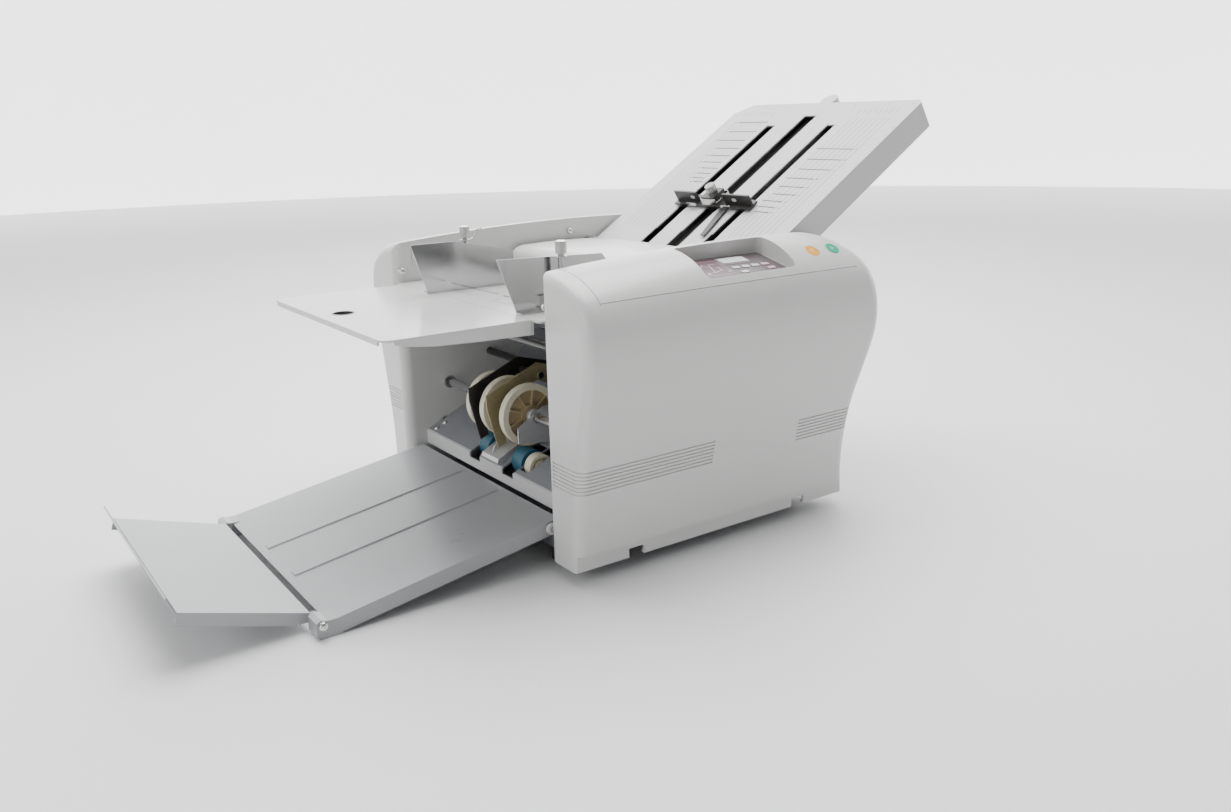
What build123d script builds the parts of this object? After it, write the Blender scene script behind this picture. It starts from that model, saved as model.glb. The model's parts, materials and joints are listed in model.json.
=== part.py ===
from build123d import *
import math
import os

# Desktop friction-feed paper folding machine.
# Frame: +X runs from the delivery side to the fold-table side, +Y to the far side (away from the
# operator's panel), +Z up. The origin is on the desk, under the middle of the whole machine.

os.makedirs("parts", exist_ok=True)

# ---------------------------------------------------------------- driving dimensions (mm)
DESK_Z = 0.0
MIDDLE_X = 8.95             # middle of the whole machine's box in the drawing, saved over the origin
SKIRT_Z = 16.0              # lower edge of the covers' skirts
SHELL_Z = 34.0              # lower edge of the covers' outer shells
FRONT_X = -105.0            # front face of the side covers
REAR_X = 325.0              # where the cover sections end before the back is cut
COVER_IN_Y = 174.0          # inner wall of each side cover
WALL = 3.0                  # moulded wall of the covers
END_WALL = 9.0              # from the covers' rounded ends to their cavity
FRONT_ROUND = 12.0
REAR_ROUND = 18.0
RIB_DEPTH = 1.2
RIB_HEIGHT = 1.9
RIB_PITCH = 4.1
RIB_COUNT = 7
RIB_LOW_Z = 102.5
RIB_GAP = (69.5, 195.0)     # plain stretch of the rib band

PLATE_IN_Y = 178.0          # inner face of each steel side plate
PLATE_T = 3.0
PLATE_TOP_Z = 306.0
BASE_Z = 18.0
BASE_T = 3.0

TABLE_Z = 271.8             # top of the feed table
TABLE_T = 2.0
TABLE_LEFT_X = -266.0
TABLE_SEAM_X = -105.6
TABLE_END_X = 64.0
TABLE_HALF_W = 157.0
TABLE_INNER_HALF_W = 171.0

ROLLER_R = 17.0             # fold rollers, all alike
ROLLER_GAP = 0.1
SHAFT_R = 5.0
ROLLER_HALF_W = 158.0
R2_X, R2_Z = 130.4, 243.8   # centre of the middle fold roller
R1_ANGLE, R3_ANGLE, R4_ANGLE = 95.0, 5.0, -125.0
ROLLER_STEP = 2 * ROLLER_R + ROLLER_GAP
FEED_R = 16.5
FEED_X, FEED_Z = 76.0, 288.7

GEAR_TEETH = 17
GEAR_Y0, GEAR_Y1 = 184.0, 192.0
DRIVE_BELT_Y0, DRIVE_BELT_Y1 = 195.0, 203.0
SIDE_BELT_Y0, SIDE_BELT_Y1 = 206.0, 212.0
DRIVE_PULLEY_R = 24.0
MOTOR_PULLEY_R = 12.0
SIDE_PULLEY_R = 10.0
BELT_T = 1.5
BELT_GAP = 0.2
MOTOR_X, MOTOR_Z, MOTOR_R = 215.0, 82.0, 33.0

EXIT_X, EXIT_Z, EXIT_R = -49.0, 78.5, 16.5
WHEEL_X, WHEEL_Z, WHEEL_R = -40.0, 132.6, 37.0
WHEEL_YS = (52.0, 18.0, -30.0)
EXIT_ROLLER_YS = (40.0, -40.0)
LIP_X, LIP_Z = -78.5, 73.0
EXIT_SLOPE = 24.0

FOLD1_X, FOLD1_Z = 237.7, 329.4
FOLD1_TILT = 32.6
FOLD1_TOP_S = 280.6
FOLD1_MOUTH_S = -108.0
FOLD1_HALF_W = 168.0
FOLD1_DEPTH = 35.0
FOLD2_X, FOLD2_Z = 152.0, 222.0
FOLD2_TILT = -35.0
FOLD2_LENGTH = 168.0

TRAY_X, TRAY_Z = -346.5, 16.0
TRAY_TILT = math.degrees(math.atan2(41.0, 257.4))
TRAY_LENGTH = 260.6
TRAY_HALF_W = 167.0
TRAY_PIVOT_X, TRAY_PIVOT_Z = -100.0, 48.0
EXT_X, EXT_Z = -355.0, 18.3
EXT_TILT = 17.5
EXT_LENGTH = 122.0
EXT_HALF_W = 142.5
EXT_PIVOT_X, EXT_PIVOT_Z = -352.0, 14.0
SHEET_T = 1.5

HOOD_AXIS_X, HOOD_AXIS_Z = 185.0, 306.0
HOOD_HALF_W = 165.0

# ---------------------------------------------------------------- shared planes and helpers


def side_plane(y):
    """Upright plane across the machine at y: sketch x is +X, sketch y is +Z."""
    return Plane.XZ.offset(-y)


def tilted(x, z, angle):
    """Plane whose sketch x climbs at angle towards +X and whose sketch y is +Y."""
    turn = math.radians(angle)
    return Plane(
        origin=(x, 0, z),
        x_dir=(math.cos(turn), 0, math.sin(turn)),
        z_dir=(-math.sin(turn), 0, math.cos(turn)),
    )


def around(x, z, radius, angle):
    """Point at radius and angle from (x, z), seen from the near side."""
    turn = math.radians(angle)
    return (x + radius * math.cos(turn), z + radius * math.sin(turn))


def disc(x, z, radius, y0, y1, mode=Mode.ADD):
    """Round bar along Y."""
    with BuildSketch(side_plane(y0)) as end:
        with Locations((x, z)):
            Circle(radius)
    extrude(end.sketch, amount=y0 - y1, mode=mode)


def block(x0, x1, y0, y1, z0, z1, mode=Mode.ADD):
    """Plain rectangular block between six faces."""
    with BuildSketch(Plane.XY.offset(z0)) as foot:
        with Locations(((x0 + x1) / 2, (y0 + y1) / 2)):
            Rectangle(x1 - x0, y1 - y0)
    extrude(foot.sketch, amount=z1 - z0, mode=mode)


def centred(piece):
    """Finished piece moved so that the machine's box stands over the origin."""
    return piece.part.moved(Location((-MIDDLE_X, 0, 0)))


def save(piece, name):
    """Label a finished piece and write it as a node of its own."""
    solid = centred(piece)
    solid.label = name
    export_step(solid, f"parts/{name}.step")


def save_group(pieces, name):
    """Write several separate solids as one node."""
    group = Compound(label=name, children=[centred(piece) for piece in pieces])
    export_step(group, f"parts/{name}.step")


# ---------------------------------------------------------------- side covers

CROWN_FRONT_Z = 320.5       # inner edge of the crown at the front face
CROWN_Z = 330.0             # the same edge over most of the length


# outline points across the cover with their outward directions: y, z, out y, out z
SIDE_POINTS = (
    (228, SHELL_Z, 1.0, 0.0),
    (236, 115, 1.0, 0.0),
    (252, 192, 1.0, 0.0),
    (259.5, 258, 1.0, 0.0),
    (250, 296, 0.8, 0.6),
    (216, 322, 0.4, 0.9),
    (COVER_IN_Y, CROWN_Z, 0.0, 1.0),
)


# outline of the covers' back, seen from the side: x, z
BACK_POINTS = (
    (290, SKIRT_Z), (290, 60), (292, 140), (303, 195), (308.6, 236),
    (306, 264), (297, 294), (280, 318), (252, 333),
)


def cover_section(crown_z, inset):
    """Outline of a side cover across the machine, drawn in by inset: y outwards, z up."""
    drop = CROWN_Z - crown_z
    path = []
    for y, z, out_y, out_z in SIDE_POINTS:
        lowered = z - drop * max(0.0, (z - 258) / (CROWN_Z - 258))
        path.append((y - inset * out_y, lowered - inset * out_z))
    path[-1] = (COVER_IN_Y + inset, path[-1][1])
    with BuildSketch() as outline:
        with BuildLine():
            side = Spline(*path)
            foot = SKIRT_Z + inset
            Polyline(
                side @ 1, (COVER_IN_Y + inset, foot), (223 - inset, foot),
                (223 - inset, SHELL_Z), side @ 0,
            )
        make_face()
    return outline.sketch


def cover_body(inset, end_inset):
    """Unrounded body of the far side cover: walls drawn in by inset, ends by end_inset."""
    with BuildPart() as body:
        for x, crown_z in ((FRONT_X + end_inset, CROWN_FRONT_Z), (20, CROWN_Z), (REAR_X, CROWN_Z)):
            with BuildSketch(Plane.YZ.offset(x)):
                add(cover_section(crown_z, inset))
        loft()
        with BuildSketch(side_plane(150)):
            with BuildLine():
                back = Spline(*[(x - end_inset, z - inset) for x, z in BACK_POINTS])
                Polyline(back @ 1, (252, 360), (-150, 360), (-150, SKIRT_Z - inset), back @ 0)
            make_face()
        extrude(amount=-150, mode=Mode.INTERSECT)
    return body.part


def cover_form(inset):
    """Outer form of the far side cover with its rounded corners, drawn in by inset all round."""
    body = cover_body(inset, inset)
    with BuildPart() as form:
        add(body)
        front = form.faces().sort_by(Axis.X)[0]
        fillet([e for e in front.edges() if e.center().Z > SHELL_Z + 20], FRONT_ROUND - inset)
        back_face = [f for f in form.faces() if f.center().X > 280 and f.area > 9000][0]
        corner = [e for e in back_face.edges() if e.center().Y > 220 and e.length > 150]
        fillet(corner, REAR_ROUND - inset)
    return form.part


def cover_grooves():
    """Slabs that mark the rib band and the seam of the crown panel on the far cover's form."""
    with BuildPart() as slabs:
        for rib in range(RIB_COUNT):
            z = RIB_LOW_Z + rib * RIB_PITCH
            block(FRONT_X - 1, RIB_GAP[0], 186, 262, z, z + RIB_HEIGHT)
            block(RIB_GAP[1], 310, 186, 262, z, z + RIB_HEIGHT)
        seam = Plane(origin=(94, 247.5, 297.5), x_dir=(1, 0, 0), z_dir=(0, 0.8, 0.6))
        with BuildSketch(seam.offset(-8)):
            Rectangle(352, 0.9)
        extrude(amount=16)
        block(-82.4, -81.6, COVER_IN_Y, 247.5, 292, 334)
    return slabs.part


outer_form = cover_form(0)
cavity_form = cover_body(WALL, END_WALL)
groove_cuts = cover_grooves() - cover_form(RIB_DEPTH)

with BuildPart() as cover_shell:
    add(outer_form)
    add(cavity_form, mode=Mode.SUBTRACT)
    # open underneath, with the inner wall clear of the base plate
    block(FRONT_X + 12, 272, COVER_IN_Y + WALL, 218, SKIRT_Z - 1, SHELL_Z + 6, mode=Mode.SUBTRACT)
    block(FRONT_X + 14, 282, COVER_IN_Y - 1, COVER_IN_Y + WALL + 1, SKIRT_Z - 1, 22, mode=Mode.SUBTRACT)
    # two lifting notches in the skirt
    for notch_x in (-27, 212):
        block(notch_x - 10, notch_x + 10, 205, 240, SKIRT_Z - 1, SKIRT_Z + 10, mode=Mode.SUBTRACT)
    add(groove_cuts, mode=Mode.SUBTRACT)

R1 = around(R2_X, R2_Z, ROLLER_STEP, R1_ANGLE)
R2 = (R2_X, R2_Z)
R3 = around(R2_X, R2_Z, ROLLER_STEP, R3_ANGLE)
R4 = around(R2_X, R2_Z, ROLLER_STEP, R4_ANGLE)
FOLD_ROLLERS = (R1, R2, R3, R4)
FEED = (FEED_X, FEED_Z)
EXIT = (EXIT_X, EXIT_Z)
WHEEL = (WHEEL_X, WHEEL_Z)
MOTOR = (MOTOR_X, MOTOR_Z)
SHAFTS = FOLD_ROLLERS + (FEED, EXIT, WHEEL)
WALL_HOLE_R = 8.5

with BuildPart() as far_cover:
    add(cover_shell.part)
    for x, z in SHAFTS:
        disc(x, z, WALL_HOLE_R, COVER_IN_Y - 1, COVER_IN_Y + WALL + 1, mode=Mode.SUBTRACT)
    disc(MOTOR_X, MOTOR_Z, MOTOR_R + 2, COVER_IN_Y - 1, COVER_IN_Y + WALL + 1, mode=Mode.SUBTRACT)
save(far_cover, "side_cover_far")

# ---------------------------------------------------------------- near cover with the panel recess

PANEL_X, PANEL_Y, PANEL_Z = 118.0, -211.0, 309.0
PANEL_L, PANEL_W = 118.0, 56.0
PANEL_TILT = 14.0
RECESS_MARGIN = 4.0
PANEL_T = 1.2
BUTTON_R = 9.0
BUTTON_GAP = 0.3
BUTTON_XS = (219.8, 251.9)
BUTTON_Y, BUTTON_Z, BUTTON_TILT = -226.0, 316.0, 33.0


def crown_plane(x, y, z, tilt):
    """Plane lying on the near crown, tipped outwards by tilt."""
    turn = math.radians(tilt)
    return Plane(origin=(x, y, z), x_dir=(1, 0, 0), z_dir=(0, -math.sin(turn), math.cos(turn)))


PANEL = crown_plane(PANEL_X, PANEL_Y, PANEL_Z, PANEL_TILT)

TUB_WALL = 2.5
near_form = outer_form.mirror(Plane.XZ)

with BuildPart() as recess_tub:
    with BuildSketch(PANEL.offset(-WALL)):
        RectangleRounded(
            PANEL_L + 2 * (RECESS_MARGIN + TUB_WALL), PANEL_W + 2 * (RECESS_MARGIN + TUB_WALL), 7,
        )
    extrude(amount=45)
    add(near_form, mode=Mode.INTERSECT)

with BuildPart() as near_cover:
    mirror(cover_shell.part, about=Plane.XZ)
    for x, z in SHAFTS:
        disc(x, z, WALL_HOLE_R, -COVER_IN_Y - WALL - 1, -COVER_IN_Y + 1, mode=Mode.SUBTRACT)
    # tub of the recess, then the recess itself
    add(recess_tub.part)
    with BuildSketch(PANEL):
        RectangleRounded(PANEL_L + 2 * RECESS_MARGIN, PANEL_W + 2 * RECESS_MARGIN, 6)
    extrude(amount=40, mode=Mode.SUBTRACT)
    for x in BUTTON_XS:
        seat = crown_plane(x, BUTTON_Y, BUTTON_Z, BUTTON_TILT)
        with BuildSketch(seat.offset(-14)):
            Circle(BUTTON_R + BUTTON_GAP)
        extrude(amount=24, mode=Mode.SUBTRACT)
save(near_cover, "side_cover_near")

# ---------------------------------------------------------------- base, side plates, feet

FOOT_HOLDS = ((-72, -150), (-72, 150), (255, -150), (255, 150))

with BuildPart() as base:
    block(-88, 270, -200, 200, BASE_Z, BASE_Z + BASE_T)
    block(-88, -86, -170, 170, BASE_Z + BASE_T, 32)
save(base, "base_plate")

with BuildPart() as feet:
    for x, y in FOOT_HOLDS:
        with BuildSketch(Plane.XY.offset(DESK_Z)):
            with Locations((x, y)):
                Circle(13)
        with BuildSketch(Plane.XY.offset(BASE_Z)):
            with Locations((x, y)):
                Circle(16)
        loft()
save(feet, "rubber_feet")

TIE_RODS = ((-60, 230), (-20, 238), (225, 245), (60, 60))
TIE_R = 5.0
BEARING_R = 9.0
BEARING_T = 5.0


def side_plate(y0, y1):
    """Steel side plate between two y values, bored for bearings and tie rods."""
    with BuildPart() as plate:
        with BuildSketch(side_plane(y0)) as outline:
            with BuildLine():
                Polyline(
                    (-88, BASE_Z + BASE_T), (270, BASE_Z + BASE_T), (274, 240), (254, 292),
                    (236, PLATE_TOP_Z), (-88, PLATE_TOP_Z), close=True,
                )
            make_face()
            with Locations(*SHAFTS):
                Circle(BEARING_R, mode=Mode.SUBTRACT)
            with Locations(MOTOR):
                Circle(SHAFT_R, mode=Mode.SUBTRACT)
        extrude(amount=y0 - y1)
    return plate


for plate_name, y0 in (("side_plate_far", PLATE_IN_Y), ("side_plate_near", -PLATE_IN_Y - PLATE_T)):
    save(side_plate(y0, y0 + PLATE_T), plate_name)

with BuildPart() as rods:
    for x, z in TIE_RODS:
        disc(x, z, TIE_R, -COVER_IN_Y, COVER_IN_Y)
save(rods, "tie_rods")

with BuildPart() as bearings:
    for x, z in SHAFTS:
        for y0 in (PLATE_IN_Y, -PLATE_IN_Y - BEARING_T):
            disc(x, z, BEARING_R, y0, y0 + BEARING_T)
            disc(x, z, SHAFT_R + 0.05, y0 - 1, y0 + BEARING_T + 1, mode=Mode.SUBTRACT)
save(bearings, "shaft_bearings")

REAR_PANEL_X = 283.0
INLET_Y, INLET_Z = -120.0, 62.0
SWITCH_Y = -78.0
SWITCH_W, SWITCH_H = 14.0, 21.0
INLET_W, INLET_H = 28.0, 21.0

with BuildPart() as rear_panel:
    block(REAR_PANEL_X, REAR_PANEL_X + SHEET_T, -172, 172, BASE_Z, 118)
    block(268, REAR_PANEL_X, -172, 172, BASE_Z + BASE_T, BASE_Z + BASE_T + SHEET_T)
    block(
        REAR_PANEL_X - 1, REAR_PANEL_X + 3, INLET_Y - INLET_W / 2, INLET_Y + INLET_W / 2,
        INLET_Z - INLET_H / 2, INLET_Z + INLET_H / 2, mode=Mode.SUBTRACT,
    )
    block(
        REAR_PANEL_X - 1, REAR_PANEL_X + 3, SWITCH_Y - 8, SWITCH_Y + 8,
        INLET_Z - 12, INLET_Z + 12, mode=Mode.SUBTRACT,
    )
save(rear_panel, "rear_panel")

with BuildPart() as inlet:
    block(
        266, REAR_PANEL_X + SHEET_T, INLET_Y - INLET_W / 2, INLET_Y + INLET_W / 2,
        INLET_Z - INLET_H / 2, INLET_Z + INLET_H / 2,
    )
    block(
        REAR_PANEL_X + SHEET_T, REAR_PANEL_X + 4, INLET_Y - 17, INLET_Y + 17,
        INLET_Z - 13, INLET_Z + 13,
    )
    block(
        270, REAR_PANEL_X + 5, INLET_Y - 12, INLET_Y + 12, INLET_Z - 8, INLET_Z + 8,
        mode=Mode.SUBTRACT,
    )
    with BuildSketch(Plane.YZ.offset(268)):
        with Locations((INLET_Y, INLET_Z + 3), (INLET_Y - 7, INLET_Z - 2), (INLET_Y + 7, INLET_Z - 2)):
            Rectangle(2, 4)
    extrude(amount=14)

with BuildPart() as switch_frame:
    block(268, REAR_PANEL_X + SHEET_T, SWITCH_Y - 8, SWITCH_Y + 8, INLET_Z - 12, INLET_Z + 12)
    block(
        REAR_PANEL_X + SHEET_T, REAR_PANEL_X + 3.5, SWITCH_Y - 10, SWITCH_Y + 10,
        INLET_Z - 14, INLET_Z + 14,
    )
    block(
        273, REAR_PANEL_X + 5, SWITCH_Y - SWITCH_W / 2, SWITCH_Y + SWITCH_W / 2,
        INLET_Z - SWITCH_H / 2, INLET_Z + SWITCH_H / 2, mode=Mode.SUBTRACT,
    )
save_group((inlet, switch_frame), "power_inlet")

ROCKER_X = 282.0
ROCKER_AXIS_X = 280.0

with BuildPart() as rocker:
    with BuildSketch(side_plane(SWITCH_Y - SWITCH_W / 2 + 0.5)):
        with BuildLine():
            tip = 9.2
            crest = ROCKER_X + 6.5
            Polyline(
                (crest - 1.5, INLET_Z), (crest + 0.5, INLET_Z + tip), (crest - 7, INLET_Z + tip - 1),
                (crest - 9, INLET_Z), (crest - 7, INLET_Z - tip + 1), (crest + 0.5, INLET_Z - tip),
                close=True,
            )
        make_face()
    extrude(amount=-(SWITCH_W - 1))
    disc(
        ROCKER_AXIS_X, INLET_Z, 2.5, SWITCH_Y - SWITCH_W / 2 + 0.5, SWITCH_Y + SWITCH_W / 2 - 0.5,
    )
save(rocker, "power_switch")

# ---------------------------------------------------------------- control panel

WINDOW_AT = (10, 14)
KEY_SPOTS = ((-2, -6), (12, -6), (26, -6), (40, -6), (40, -17), (0, -19))

with BuildPart() as membrane:
    with BuildSketch(PANEL):
        RectangleRounded(PANEL_L, PANEL_W, 4)
    extrude(amount=PANEL_T)
save(membrane, "control_panel")

with BuildPart() as window:
    with BuildSketch(PANEL.offset(PANEL_T)):
        with Locations(WINDOW_AT):
            RectangleRounded(36, 13, 1.5)
    extrude(amount=0.8)
save(window, "display_window")

with BuildPart() as keys:
    with BuildSketch(PANEL.offset(PANEL_T)):
        with Locations(*KEY_SPOTS):
            RectangleRounded(10, 5, 1.5)
    extrude(amount=0.8)
save(keys, "panel_keys")

for button_name, x in (("start_button", BUTTON_XS[1]), ("stop_button", BUTTON_XS[0])):
    seat = crown_plane(x, BUTTON_Y, BUTTON_Z, BUTTON_TILT)
    with BuildPart() as button:
        with BuildSketch(seat.offset(-7)):
            Circle(BUTTON_R)
        extrude(amount=10.5)
        crest = button.faces().sort_by(Axis(seat.origin, seat.z_dir))[-1]
        fillet(crest.edges(), 1.2)
        with BuildSketch(seat.offset(-16)):
            Circle(2.5)
        extrude(amount=9)
    save(button, button_name)

with BuildPart() as board:
    block(90, 205, -198, -196.4, 190, 275)
    for x in (100, 130, 168):
        block(x, x + 18, -203, -198, 205, 232)
    block(120, 175, -204, -198, 245, 262)
    for x, z in ((96, 196), (199, 196), (96, 269), (199, 269)):
        disc(x, z, 3, -196.4, -PLATE_IN_Y - PLATE_T)
save(board, "circuit_board")

# ---------------------------------------------------------------- feed table and paper guides

GUIDE_SLOT_X = -52.0
GUIDE_SLOT_W = 5.0

with BuildPart() as table_outer:
    block(TABLE_LEFT_X, TABLE_SEAM_X, -TABLE_HALF_W, TABLE_HALF_W, TABLE_Z - TABLE_T, TABLE_Z)
    corner_edges = table_outer.edges().filter_by(Axis.Z).group_by(Axis.X)[0]
    fillet(corner_edges, 12)
    # folded lips, deeper towards the machine
    for y0 in (-TABLE_HALF_W, TABLE_HALF_W - TABLE_T):
        with BuildSketch(side_plane(y0)):
            with BuildLine():
                Polyline(
                    (TABLE_LEFT_X + 12, TABLE_Z - TABLE_T), (TABLE_LEFT_X + 12, 266.6),
                    (-238, 263.0), (-212, 259.8), (-165, 257.8), (TABLE_SEAM_X, 256.2),
                    (TABLE_SEAM_X, TABLE_Z - TABLE_T), close=True,
                )
            make_face()
        extrude(amount=-TABLE_T)
    block(
        TABLE_LEFT_X, TABLE_LEFT_X + TABLE_T, -TABLE_HALF_W + 12, TABLE_HALF_W - 12,
        TABLE_Z - 6, TABLE_Z - TABLE_T,
    )
    # finger hole
    with BuildSketch(Plane.XY.offset(TABLE_Z)):
        with Locations((-237.5, 13)):
            Circle(11)
    extrude(amount=-TABLE_T, mode=Mode.SUBTRACT)
save(table_outer, "feed_table_outer")

with BuildPart() as table_inner:
    block(
        TABLE_SEAM_X + 0.6, TABLE_END_X, -TABLE_INNER_HALF_W, TABLE_INNER_HALF_W,
        TABLE_Z - TABLE_T, TABLE_Z,
    )
    block(
        TABLE_SEAM_X + 0.6, TABLE_SEAM_X + 2.6, -TABLE_HALF_W, TABLE_HALF_W,
        256.2, TABLE_Z - TABLE_T,
    )
    for y in (-88, 88):
        with BuildSketch(Plane.XY.offset(TABLE_Z)):
            with Locations((GUIDE_SLOT_X, y)):
                SlotOverall(164, GUIDE_SLOT_W, rotation=90)
        extrude(amount=-TABLE_T, mode=Mode.SUBTRACT)
save(table_inner, "feed_table_inner")

with BuildPart() as table_brackets:
    for side in (-1, 1):
        y0, y1 = sorted((side * 160, side * COVER_IN_Y))
        block(-98, 40, y0, y1, TABLE_Z - TABLE_T - 2, TABLE_Z - TABLE_T)
        block(-66, -38, y0, y1, TABLE_Z - TABLE_T - 5, TABLE_Z - TABLE_T, mode=Mode.SUBTRACT)
        y2, y3 = sorted((side * (COVER_IN_Y - 2), side * COVER_IN_Y))
        block(-98, 40, y2, y3, 250, TABLE_Z - TABLE_T - 2)
        y4, y5 = sorted((side * 148, side * 152))
        block(-235, TABLE_SEAM_X + 40, y4, y5, 262, TABLE_Z - TABLE_T)
        # room for the inner table's folded end
        block(TABLE_SEAM_X, TABLE_SEAM_X + 3, y4 - 1, y5 + 1, 255, 280, mode=Mode.SUBTRACT)
save(table_brackets, "table_brackets")

GUIDE_T = 1.2
POST_R = 3.5
STEM_R = 2.0
KNOB_R = 6.0
KNOB_Z0, KNOB_Z1 = 332.0, 344.5
GUIDE_FOOT_Z = TABLE_Z + 0.3


def paper_guide(wall_y, out, outline):
    """Polished side guide: upright wall, foot flange on its outer side, post and clamp shoe."""
    with BuildPart() as guide:
        y0 = wall_y if out > 0 else wall_y - GUIDE_T
        with BuildSketch(side_plane(y0)) as wall:
            with BuildLine():
                Polyline(*outline, close=True)
            make_face()
        extrude(wall.sketch, amount=-GUIDE_T)
        foot_y0, foot_y1 = sorted((wall_y, wall_y + out * 11))
        block(outline[0][0], outline[-1][0], foot_y0, foot_y1, GUIDE_FOOT_Z, GUIDE_FOOT_Z + GUIDE_T)
        post_y = wall_y + out * 15
        tab_y0, tab_y1 = sorted((wall_y, wall_y + out * 21))
        block(
            GUIDE_SLOT_X - 13, GUIDE_SLOT_X + 13, tab_y0, tab_y1,
            GUIDE_FOOT_Z, GUIDE_FOOT_Z + 2,
        )
        with BuildSketch(Plane.XY.offset(GUIDE_FOOT_Z)) as post:
            with Locations((GUIDE_SLOT_X, post_y)):
                Circle(POST_R)
        extrude(post.sketch, amount=KNOB_Z0 - GUIDE_FOOT_Z)
        block(
            GUIDE_SLOT_X - 2, GUIDE_SLOT_X + 2, post_y - 3, post_y + 3,
            TABLE_Z - TABLE_T - 3, GUIDE_FOOT_Z,
        )
        block(
            GUIDE_SLOT_X - 8, GUIDE_SLOT_X + 8, post_y - 6, post_y + 6,
            TABLE_Z - TABLE_T - 3, TABLE_Z - TABLE_T - 0.3,
        )
        with BuildSketch(Plane.XY.offset(KNOB_Z0)) as bore:
            with Locations((GUIDE_SLOT_X, post_y)):
                Circle(STEM_R + 0.05)
        extrude(bore.sketch, amount=-42, mode=Mode.SUBTRACT)
    return guide


def knurled_knob(x, y, z0, z1, radius, stem_z):
    """Knurled clamp knob with its threaded stem, turning about Z."""
    flutes = 24
    with BuildPart() as knob:
        with BuildSketch(Plane.XY.offset(z0)) as grip:
            with Locations((x, y)):
                Circle(radius)
                with PolarLocations(radius, flutes):
                    Circle(0.5, mode=Mode.SUBTRACT)
        extrude(grip.sketch, amount=z1 - z0)
        with BuildSketch(Plane.XY.offset(stem_z)) as stem:
            with Locations((x, y)):
                Circle(STEM_R)
        extrude(stem.sketch, amount=z0 - stem_z)
    return knob


NEAR_GUIDE_Y, FAR_GUIDE_Y = -118.0, 68.0
NEAR_GUIDE_OUTLINE = (
    (-100, GUIDE_FOOT_Z), (-121, 330), (9, 325.5), (17, 315), (20, GUIDE_FOOT_Z),
)
FAR_GUIDE_OUTLINE = (
    (-112, GUIDE_FOOT_Z), (-130, 330), (-76, 330), (5, 313), (8, GUIDE_FOOT_Z),
)

save(paper_guide(NEAR_GUIDE_Y, -1, NEAR_GUIDE_OUTLINE), "paper_guide_near")
save(paper_guide(FAR_GUIDE_Y, 1, FAR_GUIDE_OUTLINE), "paper_guide_far")
for knob_name, y in (("guide_knob_near", NEAR_GUIDE_Y - 15), ("guide_knob_far", FAR_GUIDE_Y + 15)):
    save(knurled_knob(GUIDE_SLOT_X, y, KNOB_Z0, KNOB_Z1, KNOB_R, KNOB_Z0 - 40), knob_name)

# ---------------------------------------------------------------- feed roller and separation

PAD_HALF_W = 22.0

with BuildPart() as pad:
    block(67, 85, -PAD_HALF_W, PAD_HALF_W, TABLE_Z - 4, TABLE_Z)
save(pad, "separation_pad")

with BuildPart() as infeed:
    block(65, 107, -160, 160, TABLE_Z - 6, TABLE_Z - 4)
    block(65, 68, -160, 160, 250, TABLE_Z - 6)
    for side in (-1, 1):
        y0, y1 = sorted((side * 160, side * COVER_IN_Y))
        block(65, 105, y0, y1, TABLE_Z - 6, TABLE_Z - 4)
save(infeed, "infeed_plate")

FEED_TYRE_HALF_W = 30.0
PULLEY_END_Y = 214.0
NEAR_END_Y = -185.0

with BuildPart() as feed_shaft:
    disc(*FEED, SHAFT_R, NEAR_END_Y, PULLEY_END_Y)
    disc(*FEED, SIDE_PULLEY_R, SIDE_BELT_Y0, SIDE_BELT_Y1)

with BuildPart() as feed_tyre:
    disc(*FEED, FEED_R, -FEED_TYRE_HALF_W, FEED_TYRE_HALF_W)
    disc(*FEED, SHAFT_R, -FEED_TYRE_HALF_W - 1, FEED_TYRE_HALF_W + 1, mode=Mode.SUBTRACT)
save_group((feed_shaft, feed_tyre), "feed_roller")

# ---------------------------------------------------------------- fold rollers and their gears

GEAR_MODULE = 2 * ROLLER_R / GEAR_TEETH
GEAR_ROOT_R = ROLLER_R - 1.15 * GEAR_MODULE
GEAR_TIP_R = ROLLER_R + 0.80 * GEAR_MODULE
TOOTH_STEP = 360 / GEAR_TEETH
TOOTH_HALF_ROOT = 2.15
TOOTH_HALF_TIP = 0.62


def gear_phase(angle):
    """Tooth angle of a gear that meshes with the middle gear in the direction angle."""
    lead = (-angle) % TOOTH_STEP
    return angle + 180 + TOOTH_STEP / 2 - lead


def fold_gear(centre, phase):
    """Spur gear on a fold roller's shaft."""
    with BuildPart() as gear:
        with BuildSketch(side_plane(GEAR_Y0)) as face:
            with Locations(centre):
                Circle(GEAR_ROOT_R)
                with PolarLocations(0, GEAR_TEETH, start_angle=phase):
                    Polygon(
                        (GEAR_ROOT_R - 0.6, -TOOTH_HALF_ROOT), (GEAR_TIP_R, -TOOTH_HALF_TIP),
                        (GEAR_TIP_R, TOOTH_HALF_TIP), (GEAR_ROOT_R - 0.6, TOOTH_HALF_ROOT),
                        align=None,
                    )
                Circle(SHAFT_R, mode=Mode.SUBTRACT)
        extrude(face.sketch, amount=GEAR_Y0 - GEAR_Y1)
    return gear


PHASES = (gear_phase(R1_ANGLE), 0.0, gear_phase(R3_ANGLE), gear_phase(R4_ANGLE))
SHAFT_ENDS = (PULLEY_END_Y, DRIVE_BELT_Y1 + 1, GEAR_Y1 + 1, PULLEY_END_Y)

for number, centre in enumerate(FOLD_ROLLERS):
    with BuildPart() as roller:
        disc(*centre, ROLLER_R, -ROLLER_HALF_W, ROLLER_HALF_W)
        disc(*centre, SHAFT_R, NEAR_END_Y, SHAFT_ENDS[number])
        if SHAFT_ENDS[number] == PULLEY_END_Y:
            disc(*centre, SIDE_PULLEY_R, SIDE_BELT_Y0, SIDE_BELT_Y1)
    save_group((roller, fold_gear(centre, PHASES[number])), f"fold_roller_{number + 1}")

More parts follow.
